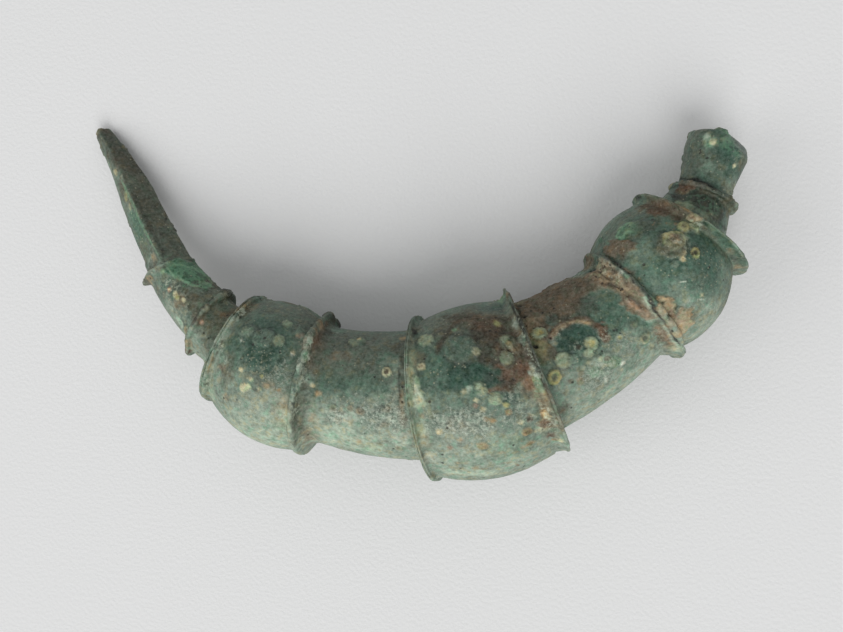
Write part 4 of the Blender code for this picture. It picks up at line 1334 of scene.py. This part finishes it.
@dataclass
class Canvas:
    """The skin as it is painted: its places, and what each place looks like."""

    skin: BowSkin
    camera: PhotoCamera

    FLECKS = ("speckle", "mottle", "crust", "veins", "stain", "pitting")
    NOISE_SEED = 11
    WANDER_SIZE = 1.0
    WOBBLE_SIZE = 0.6
    FINEST_WOBBLE = 0.5
    CELL = 3.0
    LAST_CELL = 400
    SEEN_DEPTH = 1.2
    REACH = 2.2
    FINEST_EDGE = 1.3
    FULL_SIZE = 10.0
    SPOT_DEPTH = 1.4
    EDGE_INSIDE = 0.7
    EDGE_OUTSIDE = 0.6
    MIDDLE = (0.35, 0.7)
    # Painted shadow: how much a ring just outside each disc and wart is darkened, and where that ring rises and
    # falls
    EDGE_SHADOW_PAINT = 0.34
    EDGE_SHADOW_RISE = (0.95, 1.1)
    EDGE_SHADOW_FALL = (1.12, 1.45)
    RIM = (0.3, 0.6)
    FLECK_EDGE = (0.45, 1.15)
    FLECK_WANDER = 0.35
    STROKE_EDGE = (0.35, 1.35)
    STROKE_WANDER = 0.7

    def __post_init__(self) -> None:
        """Work out places, normals and pixels, and make the blank fields."""
        self.sections = self.skin.sections()
        self.points = self.skin.grid(self.sections)
        self.noise = SoftNoise(self.NOISE_SEED)
        self.wander = self.noise.layered(self.points, self.WANDER_SIZE)
        self.directions = np.broadcast_to(self.skin.directions(), self.points.shape[:2])
        self.rise = np.array([item.rise for item in self.sections])[:, None]
        self.pixels, self.depth = self.camera.project(self.points)
        self.normal = self.normals()
        self.seen = self.visible()
        shape = self.points.shape[:2]
        self.colour = np.zeros((*shape, 3))
        self.roughness = np.zeros(shape)
        self.grain = np.zeros(shape)
        self.lift = np.zeros(shape)
        self.flecks = {kind: np.zeros(shape) for kind in self.FLECKS}

    def normals(self) -> np.ndarray:
        """Outward normals of the bare skin."""
        along = np.gradient(self.points, axis=0)
        closed = np.concatenate((self.points[:, -2:-1], self.points, self.points[:, 1:2]), axis=1)
        normal = np.cross(along, closed[:, 2:] - closed[:, :-2])
        normal /= np.linalg.norm(normal, axis=-1, keepdims=True) + 1e-12
        outward = self.points - self.points[:, :-1].mean(axis=1, keepdims=True)
        return normal * np.sign(np.mean(np.sum(normal * outward, axis=-1)))

    def visible(self) -> np.ndarray:
        """Which corners the photograph shows."""
        cells = np.clip((self.pixels / self.CELL).astype(int) + 1, 0, self.LAST_CELL)
        across, down = cells[..., 0], cells[..., 1]
        nearest = np.full((self.LAST_CELL + 1,) * 2, np.inf)
        np.minimum.at(nearest, (down, across), self.depth)
        toward = np.array(self.camera.position) - self.points
        facing = np.sum(toward * self.normal, axis=-1) > 0.0
        return facing & (self.depth < nearest[down, across] + self.SEEN_DEPTH)

    def anchor(self, spot: Spot) -> np.ndarray:
        """Place on the skin that the photograph shows at a spot."""
        away = np.hypot(self.pixels[..., 0] - spot.x, self.pixels[..., 1] - spot.y)
        away = np.where(self.seen, away, np.inf)
        return self.points.reshape(-1, 3)[int(np.argmin(away))]

    def lay_pigment(self, pigment: Pigment, mask: np.ndarray, near: object = ...) -> None:
        """Mix a pigment into the patina.

        Args:
            pigment: The pigment.
            mask: How much of it, from 0 to 1.
            near: Index of the corners that the mask is for, all of them by default.
        """
        self.colour[near] += (pigment.colour - self.colour[near]) * mask[..., None]
        self.roughness[near] += (pigment.roughness - self.roughness[near]) * mask
        self.grain[near] += (pigment.grain - self.grain[near]) * mask

    def reach(self, spot: Spot, centre: np.ndarray, axes: np.ndarray, scale: float) -> np.ndarray:
        """Distance of each corner from a spot, 1 on the spot's edge.

        Args:
            spot: The spot, whose size and turn count.
            centre: Its place in the row frame.
            axes: Right, up and out of the spot, as rows.
            scale: Length of a pixel there, in mm.

        Returns:
            The distances, as shares of the spot's half sizes.
        """
        local = (self.points - centre) @ axes.T
        turn = math.radians(spot.turn)
        across = local[..., 0] * math.cos(turn) + local[..., 1] * math.sin(turn)
        up = local[..., 1] * math.cos(turn) - local[..., 0] * math.sin(turn)
        wide, high = spot.wide * scale, spot.high * scale
        deep = self.SPOT_DEPTH * math.sqrt(wide * high)
        return np.sqrt((across / wide) ** 2 + (up / high) ** 2 + (local[..., 2] / deep) ** 2)

    def lay(self, mark: Mark, centre: np.ndarray, axes: np.ndarray, scale: float) -> None:
        """Lay a mark on the skin around a place.

        Args:
            mark: The mark.
            centre: Its place in the row frame.
            axes: Right, up and out of the mark, as rows.
            scale: Length of a pixel there, in mm.
        """
        brush, spot = mark.brush, mark.spot
        away = self.reach(spot, centre, axes, scale)
        near = np.nonzero(away < self.REACH)
        breadth = math.sqrt(spot.wide * spot.high)
        size = max(self.FINEST_WOBBLE, self.WOBBLE_SIZE * scale * breadth)
        away = away[near] + brush.wobble * self.noise.layered(self.points[near], size)
        softness = max(brush.softness, self.FINEST_EDGE / breadth)
        edge = 1.0 - self.EDGE_INSIDE * softness, 1.0 + self.EDGE_OUTSIDE * softness
        mask = 1.0 - smooth_step(*edge, away)
        if mark.rim_only:
            mask = mask * smooth_step(*self.RIM, self.rise[near[0], 0])
        # Painted shadow: a dark ring just outside the raised edge of each disc and wart
        if brush in (Brush.DISC, Brush.WART):
            edge_shadow = smooth_step(*self.EDGE_SHADOW_RISE, away) * (1.0 - smooth_step(*self.EDGE_SHADOW_FALL, away))
            self.colour[near] *= 1.0 - self.EDGE_SHADOW_PAINT * edge_shadow[:, None]
        self.lay_pigment(mark.pigment, mask * spot.strength, near)
        texture = brush.texture * (1.0 - mark.pigment.grain) * mask * spot.strength
        self.flecks["mottle"][near] = np.maximum(self.flecks["mottle"][near], texture)
        middle = 1.0 - smooth_step(*self.MIDDLE, away)
        if mark.core is not None:
            self.lay_pigment(mark.core, middle * mask * spot.strength, near)
        lift = brush.lift * min(1.0, breadth / self.FULL_SIZE) if mark.lift is None else mark.lift
        self.lift[near] += lift * (mask - brush.dimple * middle)

    def mark(self, mark: Mark) -> None:
        """Lay a mark where the photograph shows it."""
        centre = self.anchor(mark.spot)
        self.lay(mark, centre, self.camera.axes(), self.camera.pixel_length(centre))

    def fleck(self, fleck: Fleck) -> None:
        """Let the material draw flecks in an area."""
        centre = self.anchor(fleck.spot)
        away = self.reach(fleck.spot, centre, self.camera.axes(), self.camera.pixel_length(centre))
        away += self.FLECK_WANDER * self.wander
        mask = fleck.spot.strength * (1.0 - smooth_step(*self.FLECK_EDGE, away))
        self.flecks[fleck.kind] = np.maximum(self.flecks[fleck.kind], mask)

    def stroke(self, stroke: Stroke) -> None:
        """Draw a line of patina through some pixels."""
        away = np.full(self.depth.shape, np.inf)
        for start, end in zip(stroke.through, stroke.through[1:]):
            first, step = np.array(start), np.array(end) - np.array(start)
            share = np.clip(((self.pixels - first) @ step) / (step @ step), 0.0, 1.0)
            gap = self.pixels - first - share[..., None] * step
            away = np.minimum(away, np.hypot(gap[..., 0], gap[..., 1]))
        away = (away + self.STROKE_WANDER * self.wander) / stroke.width
        mask = self.seen * (1.0 - smooth_step(*self.STROKE_EDGE, away))
        if stroke.rim_only:
            mask = mask * smooth_step(*self.RIM, self.rise)
        self.lay_pigment(stroke.pigment, mask * stroke.strength)
        self.lift += stroke.lift * mask


@dataclass
class Patina:
    """Everything that grew on the bronze, from the ground to the last wart."""

    canvas: Canvas
    scattered: int = 200
    seed: int = 5
    photo_pixel: float = 0.1
    table_gap: float = 0.2
    casting_relief: float = 0.05
    skin_relief: float = 0.02
    crust_relief: float = 0.06
    brown_share: float = 0.7
    deep_share: float = 0.75
    pale_share: float = 0.6
    mottle_share: float = 0.6
    collar_foot_darkening: float = 0.4
    wear_share: float = 0.25

    # Pigment, share, and the directions between which the band rises. Grey on the inner side to pale on the
    # side facing the near light: partly patina, partly painted light and shade.
    BANDS_WITH_PAINTED_LIGHT = (
        (TEAL, 0.6, 62.0, 88.0),
        (SEA, 0.8, 88.0, 115.0),
        (PALE, 0.75, 108.0, 150.0),
        (TEAL, 0.75, 195.0, 240.0),
    )
    BAND_WANDER = 16.0
    UNDERSIDE = (160.0, 190.0)
    HIDDEN_SIDE = (190.0, 230.0)
    # Offset and size of some noise
    BAND_NOISE = (0.0, 4.0)
    CASTING_NOISE = (60.0, 4.5)
    SKIN_NOISE = (0.0, 1.3)
    WEAR_NOISE = (35.0, 0.9)
    CRUST_NOISE = (0.0, 0.6)
    # The same, and the values between which a cloud of it rises
    BROWN_CLOUDS = (40.0, 5.0, 0.1, 0.6)
    DEEP_CLOUDS = (140.0, 6.0, 0.0, 0.5)
    PALE_CLOUDS = (90.0, 4.0, 0.15, 0.7)
    COLLAR_FOOT_CLOUDS = (20.0, 0.8, -0.4, 0.5)
    # Least flecks anywhere, and their share on the hidden side
    SPECKLE = (0.1, 0.4)
    PITTING = (0.08, 0.5)
    # Heights on a collar between which the darkening at its foot comes and goes, and wear comes
    COLLAR_FOOT_RISE = (0.0, 0.12)
    COLLAR_FOOT_FALL = (0.3, 0.55)
    WEAR_RISE = (0.85, 1.0)
    # Ranges of a scattered mark's width, height, strength and turn
    WIDTHS = (0.7, 1.3)
    HEIGHTS = (0.65, 1.0)
    STRENGTHS = (0.5, 0.9)
    TURNS = (0.0, 180.0)
    # Brush, pigment, core and width in pixels of the scattered marks
    SCATTER = (
        (Brush.DISC, PALE, SEA, 7.0),
        (Brush.WART, CREAM, BROWN, 5.0),
        (Brush.DOT, TAN, None, 3.5),
        (Brush.DOT, CREAM, None, 2.6),
        (Brush.PATCH, DEEP_TEAL, None, 22.0),
        (Brush.CRUST, MINT, None, 9.0),
        (Brush.PATCH, RUST, None, 8.0),
    )

    def grow(self) -> None:
        """Lay the ground, the marks, and the darker feet and worn rims of the collars, in that order."""
        self.ground()
        self.scatter()
        lay = {Mark: self.canvas.mark, Stroke: self.canvas.stroke, Fleck: self.canvas.fleck}
        for item in PATINA:
            lay[type(item)](item)
        self.darken_collar_feet()
        self.relief()

    def noise(self, offset: float, size: float) -> np.ndarray:
        """Noise on the skin, a different one for each offset."""
        return self.canvas.noise.layered(self.canvas.points + offset, size)

    def clouds(self, offset: float, size: float, low: float, high: float) -> np.ndarray:
        """Clouds of noise, 0 where it is low and 1 where it is high."""
        return smooth_step(low, high, self.noise(offset, size))

    def ground(self) -> None:
        """Bands of ground colour around the bow, paler toward the near light and partly painted light and
        shade, and clouds on its hidden side.
        """
        canvas = self.canvas
        turn = canvas.directions + self.BAND_WANDER * self.noise(*self.BAND_NOISE)
        canvas.lay_pigment(GREY, np.ones(turn.shape))
        # Grey on the inner side to pale on the side facing the near light: partly patina colour, partly painted
        # light and shade
        for pigment, share, start, full in self.BANDS_WITH_PAINTED_LIGHT:
            canvas.lay_pigment(pigment, share * smooth_step(start, full, turn))
        hidden = smooth_step(*self.HIDDEN_SIDE, turn)
        brown = hidden * self.clouds(*self.BROWN_CLOUDS)
        deep = smooth_step(*self.UNDERSIDE, turn) * self.clouds(*self.DEEP_CLOUDS)
        pale = hidden * self.clouds(*self.PALE_CLOUDS)
        canvas.lay_pigment(BROWN, self.brown_share * brown)
        canvas.lay_pigment(TEAL, self.deep_share * deep)
        canvas.lay_pigment(PALE, self.pale_share * pale)
        for kind, shares, where in (("speckle", self.SPECKLE, hidden), ("pitting", self.PITTING, brown)):
            canvas.flecks[kind] = np.maximum(shares[0], shares[1] * where)
        canvas.flecks["mottle"] = self.mottle_share * pale

    def scatter(self) -> None:
        """Warts, discs and stains on the sides that the photograph hides."""
        canvas = self.canvas
        random = np.random.default_rng(self.seed)
        hidden = np.argwhere(~canvas.seen[:, :-1] & (canvas.points[:, :-1, 2] > self.table_gap))
        for _ in range(self.scattered):
            ring, column = hidden[random.integers(len(hidden))]
            brush, pigment, core, size = self.SCATTER[random.integers(len(self.SCATTER))]
            wide = size * random.uniform(*self.WIDTHS)
            spot = Spot(
                0.0, 0.0, wide, wide * random.uniform(*self.HEIGHTS),
                strength=random.uniform(*self.STRENGTHS), turn=random.uniform(*self.TURNS),
            )
            out = canvas.normal[ring, column]
            right = np.cross((0.0, 0.0, 1.0), out) + 1e-9
            right /= np.linalg.norm(right)
            axes = np.stack((right, np.cross(out, right), out))
            canvas.lay(Mark(brush, pigment, spot, core), canvas.points[ring, column], axes, self.photo_pixel)

    def darken_collar_feet(self) -> None:
        """Darker colour in the crease at the foot of each collar and pale wear along its rim."""
        rise = self.canvas.rise
        broken = self.clouds(*self.COLLAR_FOOT_CLOUDS)
        corner = smooth_step(*self.COLLAR_FOOT_RISE, rise) * (1.0 - smooth_step(*self.COLLAR_FOOT_FALL, rise))
        # Darker colour in the crease where each collar meets the body, broken up by clouds
        self.canvas.lay_pigment(DARK_BROWN, self.collar_foot_darkening * corner * broken)
        crest = smooth_step(*self.WEAR_RISE, rise)
        self.canvas.lay_pigment(PALE, self.wear_share * crest * (1.0 - broken))

    def relief(self) -> None:
        """Undulation of the casting, worn rims, and the grain of the crust."""
        canvas = self.canvas
        wear = np.array([COLLARS[item.collar].wear if item.collar >= 0 else 0.0 for item in canvas.sections])
        canvas.lift += self.casting_relief * self.noise(*self.CASTING_NOISE)
        canvas.lift += self.skin_relief * self.noise(*self.SKIN_NOISE)
        canvas.lift += wear[:, None] * self.noise(*self.WEAR_NOISE) * canvas.rise
        canvas.lift += self.crust_relief * canvas.grain * self.noise(*self.CRUST_NOISE)


@dataclass
class Bow:
    """The bronze bow, from bare skin to finished piece."""

    skin: BowSkin = field(default_factory=BowSkin)
    camera: PhotoCamera = field(default_factory=PhotoCamera)

    def build(self) -> bpy.types.Object:
        """Build, paint and dress the bow.

        Returns:
            The finished piece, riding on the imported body.
        """
        canvas = Canvas(self.skin, self.camera)
        Patina(canvas).grow()
        piece = self.make_mesh(canvas)
        piece.data.materials.append(BronzePatina().make())
        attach(piece, "root")
        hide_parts(NODE)
        LOG.info("%s: %d rings, %d faces", piece.name, len(canvas.sections), len(piece.data.polygons))
        return piece

    def make_mesh(self, canvas: Canvas) -> bpy.types.Object:
        """Wrap a flat grid around the bow, weld its seam and cap its ends."""
        rings, columns = canvas.points.shape[:2]
        points = canvas.points + canvas.normal * canvas.lift[..., None]
        points[..., 2] = np.maximum(points[..., 2], 0.0)
        points[:, -1] = points[:, 0]
        mesh = bmesh.new()
        bmesh.ops.create_grid(mesh, x_segments=columns - 1, y_segments=rings - 1, size=1.0)
        data = bpy.data.meshes.new("bow_skin")
        mesh.to_mesh(data)
        mesh.free()
        data.vertices.foreach_set("co", (points * MM).ravel())
        colours = np.concatenate((canvas.colour, np.ones((rings, columns, 1))), axis=-1)
        patina = data.attributes.new("patina", "FLOAT_COLOR", "POINT")
        patina.data.foreach_set("color", colours.clip(0.0, 1.0).ravel())
        fields = {"roughness": canvas.roughness, "grain": canvas.grain, **canvas.flecks}
        for name, values in fields.items():
            attribute = data.attributes.new(f"patina_{name}", "FLOAT", "POINT")
            attribute.data.foreach_set("value", values.clip(0.0, 1.0).ravel())
        mesh = bmesh.new()
        mesh.from_mesh(data)
        bmesh.ops.remove_doubles(mesh, verts=mesh.verts, dist=1e-8)
        loose_ends = [edge for edge in mesh.edges if edge.is_boundary]
        bmesh.ops.holes_fill(mesh, edges=loose_ends, sides=0)
        bmesh.ops.recalc_face_normals(mesh, faces=mesh.faces)
        mesh.to_mesh(data)
        mesh.free()
        data.shade_smooth()
        return put("bow_skin", data)


@dataclass(frozen=True)
class Tone:
    """Colour of one kind of fleck as it shows on a screen, and how far it covers."""

    shown: tuple[int, int, int]
    share: float


@dataclass(frozen=True)
class BronzePatina:
    """Satin patina over old bronze: painted ground, broken up by fine flecks."""

    clouds: Cloud = Cloud(420.0, 6.0, 0.62)
    blotches: Cloud = Cloud(1250.0, 1.0)
    drift: Cloud = Cloud(1300.0, 4.0, 0.65)
    grain: Cloud = Cloud(1700.0, 5.0, 0.72)
    grit: Cloud = Cloud(3300.0, 2.0, 0.7)
    specks: Cloud = Cloud(2900.0, 2.0, 0.6)
    mottling: Cloud = Cloud(3400.0, 4.0, 0.75)
    crumbs: Cloud = Cloud(2300.0, 3.0, 0.7)
    veins: Cloud = Cloud(1400.0, 1.0)
    stains: Cloud = Cloud(1500.0, 3.0)
    soil: Cloud = Cloud(3800.0, 3.0)
    earth: Cloud = Cloud(5200.0, 3.0, 0.75)
    speckle_scale: float = 3300.0
    speckle_radius: float = 0.3
    pit_scale: float = 1900.0
    pit_radius: float = 0.26
    speckle_tone: Tone = Tone((176, 174, 146), 0.45)
    mottle_tone: Tone = Tone((190, 198, 182), 0.42)
    dark_mottle_tone: Tone = Tone((70, 88, 76), 0.55)
    crumb_tone: Tone = Tone((190, 200, 178), 0.7)
    gap_tone: Tone = Tone((42, 50, 42), 0.75)
    vein_tone: Tone = Tone((104, 150, 116), 0.45)
    stain_tone: Tone = Tone((134, 110, 80), 0.5)
    pit_tone: Tone = Tone((38, 36, 30), 0.85)
    greener: tuple[float, float, float] = (0.82, 1.03, 0.95)
    browner: tuple[float, float, float] = (1.2, 1.02, 0.84)
    # Values of the drift between which the colour turns
    green_drift: tuple[float, float] = (0.5, 0.66)
    brown_drift: tuple[float, float] = (0.5, 0.34)
    # Least and most light that a noise adds, and how far the grit shifts the colour
    cloud_light: tuple[float, float] = (0.5, 1.5)
    grain_light: tuple[float, float] = (-0.45, 0.45)
    blotch_light: tuple[float, float] = (-0.35, 0.35)
    grit_light: tuple[float, float] = (-0.5, 0.5)
    earth_light: tuple[float, float] = (0.45, 1.55)
    grit_shift: tuple[float, float] = (-0.06, 0.06)
    # Least and most roughness that the grain adds
    roughening: tuple[float, float] = (-0.35, 0.45)
    # Values of a noise between which crumbs, gaps and veins come
    crumb_steps: tuple[float, float] = (0.51, 0.6)
    gap_steps: tuple[float, float] = (0.46, 0.38)
    vein_steps: tuple[float, float] = (0.1, 0.03)
    # Limits of a noise where least and most is painted, and the flecks' edge
    speck_limits: tuple[float, float] = (0.78, 0.6)
    speck_edge: float = 0.06
    speck_share: float = 0.6
    mottle_limits: tuple[float, float, float] = (0.72, 0.5, 0.09)
    dark_mottle_limits: tuple[float, float, float] = (0.74, 0.56, 0.06)
    stain_limits: tuple[float, float, float] = (0.8, 0.58, 0.05)
    # What each part adds to the height
    cloud_height: float = 0.35
    grain_height: float = 0.45
    fleck_height: float = 0.2
    pit_height: float = -0.5
    soil_height: float = 0.7
    gloss: float = 0.45
    bump_distance: float = 0.00016

    def make(self) -> bpy.types.Material:
        """Make the material.

        Returns:
            The material, which reads the painted attributes of the skin.
        """
        sheet = NodeSheet("bronze_patina")
        cloud, grain = sheet.noise(self.clouds), sheet.noise(self.grain)
        colour = self.broken_tone(sheet, sheet.painted("patina", "Color"), cloud, grain)
        colour, flecks = self.flecked(sheet, colour)
        pits = sheet.dots(self.pit_scale, self.pit_radius, sheet.painted("patina_pitting"))
        colour = sheet.tinted(colour, self.pit_tone, pits)
        tone = sheet.stretch(sheet.noise(self.earth), *self.earth_light)
        colour = sheet.mix(colour, sheet.scaled(colour, tone), sheet.painted("patina_grain"))
        height = sheet.add(sheet.times(cloud, self.cloud_height), sheet.times(grain, self.grain_height))
        height = sheet.add(height, sheet.times(flecks, self.fleck_height))
        height = sheet.add(height, sheet.times(pits, self.pit_height))
        soil = sheet.times(sheet.noise(self.soil), sheet.painted("patina_grain"))
        height = sheet.add(height, sheet.times(soil, self.soil_height))
        return sheet.shade({
            "Base Color": colour,
            "Roughness": sheet.add(sheet.painted("patina_roughness"), sheet.stretch(grain, *self.roughening)),
            "Specular IOR Level": self.gloss,
            "Normal": sheet.bump(height, 1.0, self.bump_distance),
        })

    def broken_tone(self, sheet: "NodeSheet", colour: object, cloud: object, grain: object) -> object:
        """Lighter and darker clouds, and greener and browner ones."""
        lightness = sheet.add(sheet.stretch(cloud, *self.cloud_light), sheet.stretch(grain, *self.grain_light))
        lightness = sheet.add(lightness, sheet.stretch(sheet.noise(self.blotches), *self.blotch_light))
        grit = sheet.noise(self.grit)
        lightness = sheet.add(lightness, sheet.stretch(grit, *self.grit_light))
        colour = sheet.shifted(sheet.scaled(colour, lightness), sheet.stretch(grit, *self.grit_shift))
        drift = sheet.noise(self.drift)
        colour = sheet.mix(colour, sheet.scaled(colour, self.greener), sheet.steps(drift, *self.green_drift))
        return sheet.mix(colour, sheet.scaled(colour, self.browner), sheet.steps(drift, *self.brown_drift))

    def flecked(self, sheet: "NodeSheet", colour: object) -> tuple[object, object]:
        """Pale speckles, whitish mottling, crumbs, veins and brown stains.

        Args:
            sheet: The material's nodes.
            colour: Colour of the ground.

        Returns:
            The flecked colour, and where the flecks stand up.
        """
        painted = sheet.painted("patina_speckle")
        speckle = sheet.dots(self.speckle_scale, self.speckle_radius, painted)
        limit = sheet.stretch(painted, *self.speck_limits)
        specks = sheet.over(sheet.noise(self.specks), limit, self.speck_edge)
        speckle = sheet.math("MAXIMUM", speckle, sheet.times(specks, self.speck_share))
        colour = sheet.tinted(colour, self.speckle_tone, speckle)
        broken, painted = sheet.noise(self.mottling), sheet.painted("patina_mottle")
        mottle = sheet.islands(broken, painted, *self.mottle_limits)
        colour = sheet.tinted(colour, self.mottle_tone, mottle)
        dark = sheet.islands(sheet.subtract(1.0, broken), painted, *self.dark_mottle_limits)
        colour = sheet.tinted(colour, self.dark_mottle_tone, dark)
        crumbs, painted = sheet.noise(self.crumbs), sheet.painted("patina_crust")
        crumb = sheet.times(sheet.steps(crumbs, *self.crumb_steps), painted)
        colour = sheet.tinted(colour, self.crumb_tone, crumb)
        gap = sheet.times(sheet.steps(crumbs, *self.gap_steps), painted)
        colour = sheet.tinted(colour, self.gap_tone, gap)
        away = sheet.math("ABSOLUTE", sheet.subtract(sheet.noise(self.veins), 0.5))
        vein = sheet.times(sheet.steps(away, *self.vein_steps), sheet.painted("patina_veins"))
        colour = sheet.tinted(colour, self.vein_tone, vein)
        stain = sheet.islands(sheet.noise(self.stains), sheet.painted("patina_stain"), *self.stain_limits)
        return sheet.tinted(colour, self.stain_tone, stain), sheet.add(speckle, mottle)


class NodeSheet:
    """A new material, and small steps that build its nodes on Object coordinates."""

    DOT_SPREAD = 0.5
    DOT_EDGE = 0.12
    DOT_SHARE = 0.7
    PAINT_RISE = (0.02, 0.3)

    def __init__(self, name: str) -> None:
        """Start the material."""
        self.material = bpy.data.materials.new(name)
        self.material.use_nodes = True
        self.nodes = self.material.node_tree.nodes
        self.links = self.material.node_tree.links
        self.places = self.nodes.new("ShaderNodeTexCoord").outputs["Object"]

    def join(self, value: object, socket: Socket) -> None:
        """Link a socket, or set a plain value."""
        if isinstance(value, Socket):
            self.links.new(value, socket)
        else:
            socket.default_value = value

    def node(self, kind: str, values: dict[str | int, object], **settings: str) -> bpy.types.ShaderNode:
        """Add a node.

        Args:
            kind: Its type, without the common first part.
            values: Plain values or sockets for its inputs.
            settings: What the node itself is set to.

        Returns:
            The node.
        """
        node = self.nodes.new("ShaderNode" + kind)
        for name, setting in settings.items():
            setattr(node, name, setting)
        for name, value in values.items():
            self.join(value, node.inputs[name])
        return node

    def shade(self, values: dict[str, object]) -> bpy.types.Material:
        """Join the shader's inputs and hand over the material."""
        for name, value in values.items():
            self.join(value, self.nodes["Principled BSDF"].inputs[name])
        return self.material

    def painted(self, name: str, output: str = "Fac") -> Socket:
        """A painted value or, from the output Color, a painted colour of the skin."""
        return self.node("Attribute", {}, attribute_name=name).outputs[output]

    def noise(self, cloud: Cloud) -> Socket:
        """Cloudy noise, about 0.5 in the mean."""
        look = {"Scale": cloud.scale, "Detail": cloud.detail, "Roughness": cloud.roughness}
        return self.node("TexNoise", {"Vector": self.places, **look}).outputs["Fac"]

    def dots(self, scale: float, radius: float, amount: object) -> Socket:
        """Round dots, in a share of the cells that the amount gives."""
        cells = self.node("TexVoronoi", {"Vector": self.places, "Scale": scale})
        split = self.node("SeparateColor", {"Color": cells.outputs["Color"]})
        size = self.stretch(split.outputs["Green"], radius * self.DOT_SPREAD, radius)
        dot = self.over(size, cells.outputs["Distance"], self.DOT_EDGE)
        chosen = self.math("LESS_THAN", split.outputs["Red"], self.times(amount, self.DOT_SHARE))
        return self.times(dot, chosen)

    def math(self, operation: str, *values: object) -> Socket:
        """One sum on plain values or sockets."""
        return self.node("Math", dict(enumerate(values)), operation=operation).outputs["Value"]

    def add(self, first: object, second: object) -> Socket:
        """First plus second."""
        return self.math("ADD", first, second)

    def subtract(self, first: object, second: object) -> Socket:
        """First less second."""
        return self.math("SUBTRACT", first, second)

    def times(self, first: object, second: object) -> Socket:
        """First times second."""
        return self.math("MULTIPLY", first, second)

    def stretch(self, value: object, low: float, high: float) -> Socket:
        """Map 0 to low and 1 to high."""
        return self.math("MULTIPLY_ADD", value, high - low, low)

    def steps(self, value: object, low: float, high: float) -> Socket:
        """Rise from 0 at low to 1 at high; low may be the larger of the two."""
        values = {"Value": value, "From Min": low, "From Max": high}
        return self.node("MapRange", values, interpolation_type="SMOOTHSTEP").outputs["Result"]

    def over(self, value: object, limit: object, edge: float) -> Socket:
        """1 where the value is over the limit, with an edge of some width."""
        return self.steps(self.subtract(value, limit), -edge, edge)

    def islands(self, value: object, painted: object, bare: float, full: float, edge: float) -> Socket:
        """Flecks where a noise is over a limit that falls as the painted value rises.

        Args:
            value: The noise.
            painted: The painted value.
            bare: The limit where the painted value is 0.
            full: The limit where it is 1.
            edge: Half width of the flecks' edge.

        Returns:
            The socket with the flecks, none where nothing is painted.
        """
        flecks = self.over(value, self.stretch(painted, bare, full), edge)
        return self.times(flecks, self.steps(painted, *self.PAINT_RISE))

    def mix(self, first: object, second: object, share: object) -> Socket:
        """Mix of two colours."""
        return self.node("Mix", {"Factor": share, 6: first, 7: second}, data_type="RGBA").outputs[2]

    def tinted(self, colour: object, tone: Tone, mask: object) -> Socket:
        """A colour with flecks of some tone in it."""
        return self.mix(colour, (*linear(tone.shown), 1.0), self.times(mask, tone.share))

    def scaled(self, colour: object, scale: object) -> Socket:
        """A colour times a value, or times a value for each channel."""
        if isinstance(scale, Socket):
            return self.node("VectorMath", {0: colour, "Scale": scale}, operation="SCALE").outputs[0]
        return self.node("VectorMath", {0: colour, 1: scale}, operation="MULTIPLY").outputs[0]

    def shifted(self, colour: object, shift: object) -> Socket:
        """A colour made lighter or darker by the same amount all over."""
        return self.node("VectorMath", {0: colour, 1: shift}, operation="ADD").outputs[0]

    def bump(self, height: object, strength: float, distance: float) -> Socket:
        """Normals bent by a height."""
        values = {"Strength": strength, "Distance": distance, "Height": height}
        return self.node("Bump", values).outputs["Normal"]


def main() -> None:
    """Build the bow and the studio around it."""
    logging.basicConfig(level=logging.INFO)
    Bow().build()
    Studio().make()
    PhotoCamera().make()


if __name__ == "__main__":
    main()
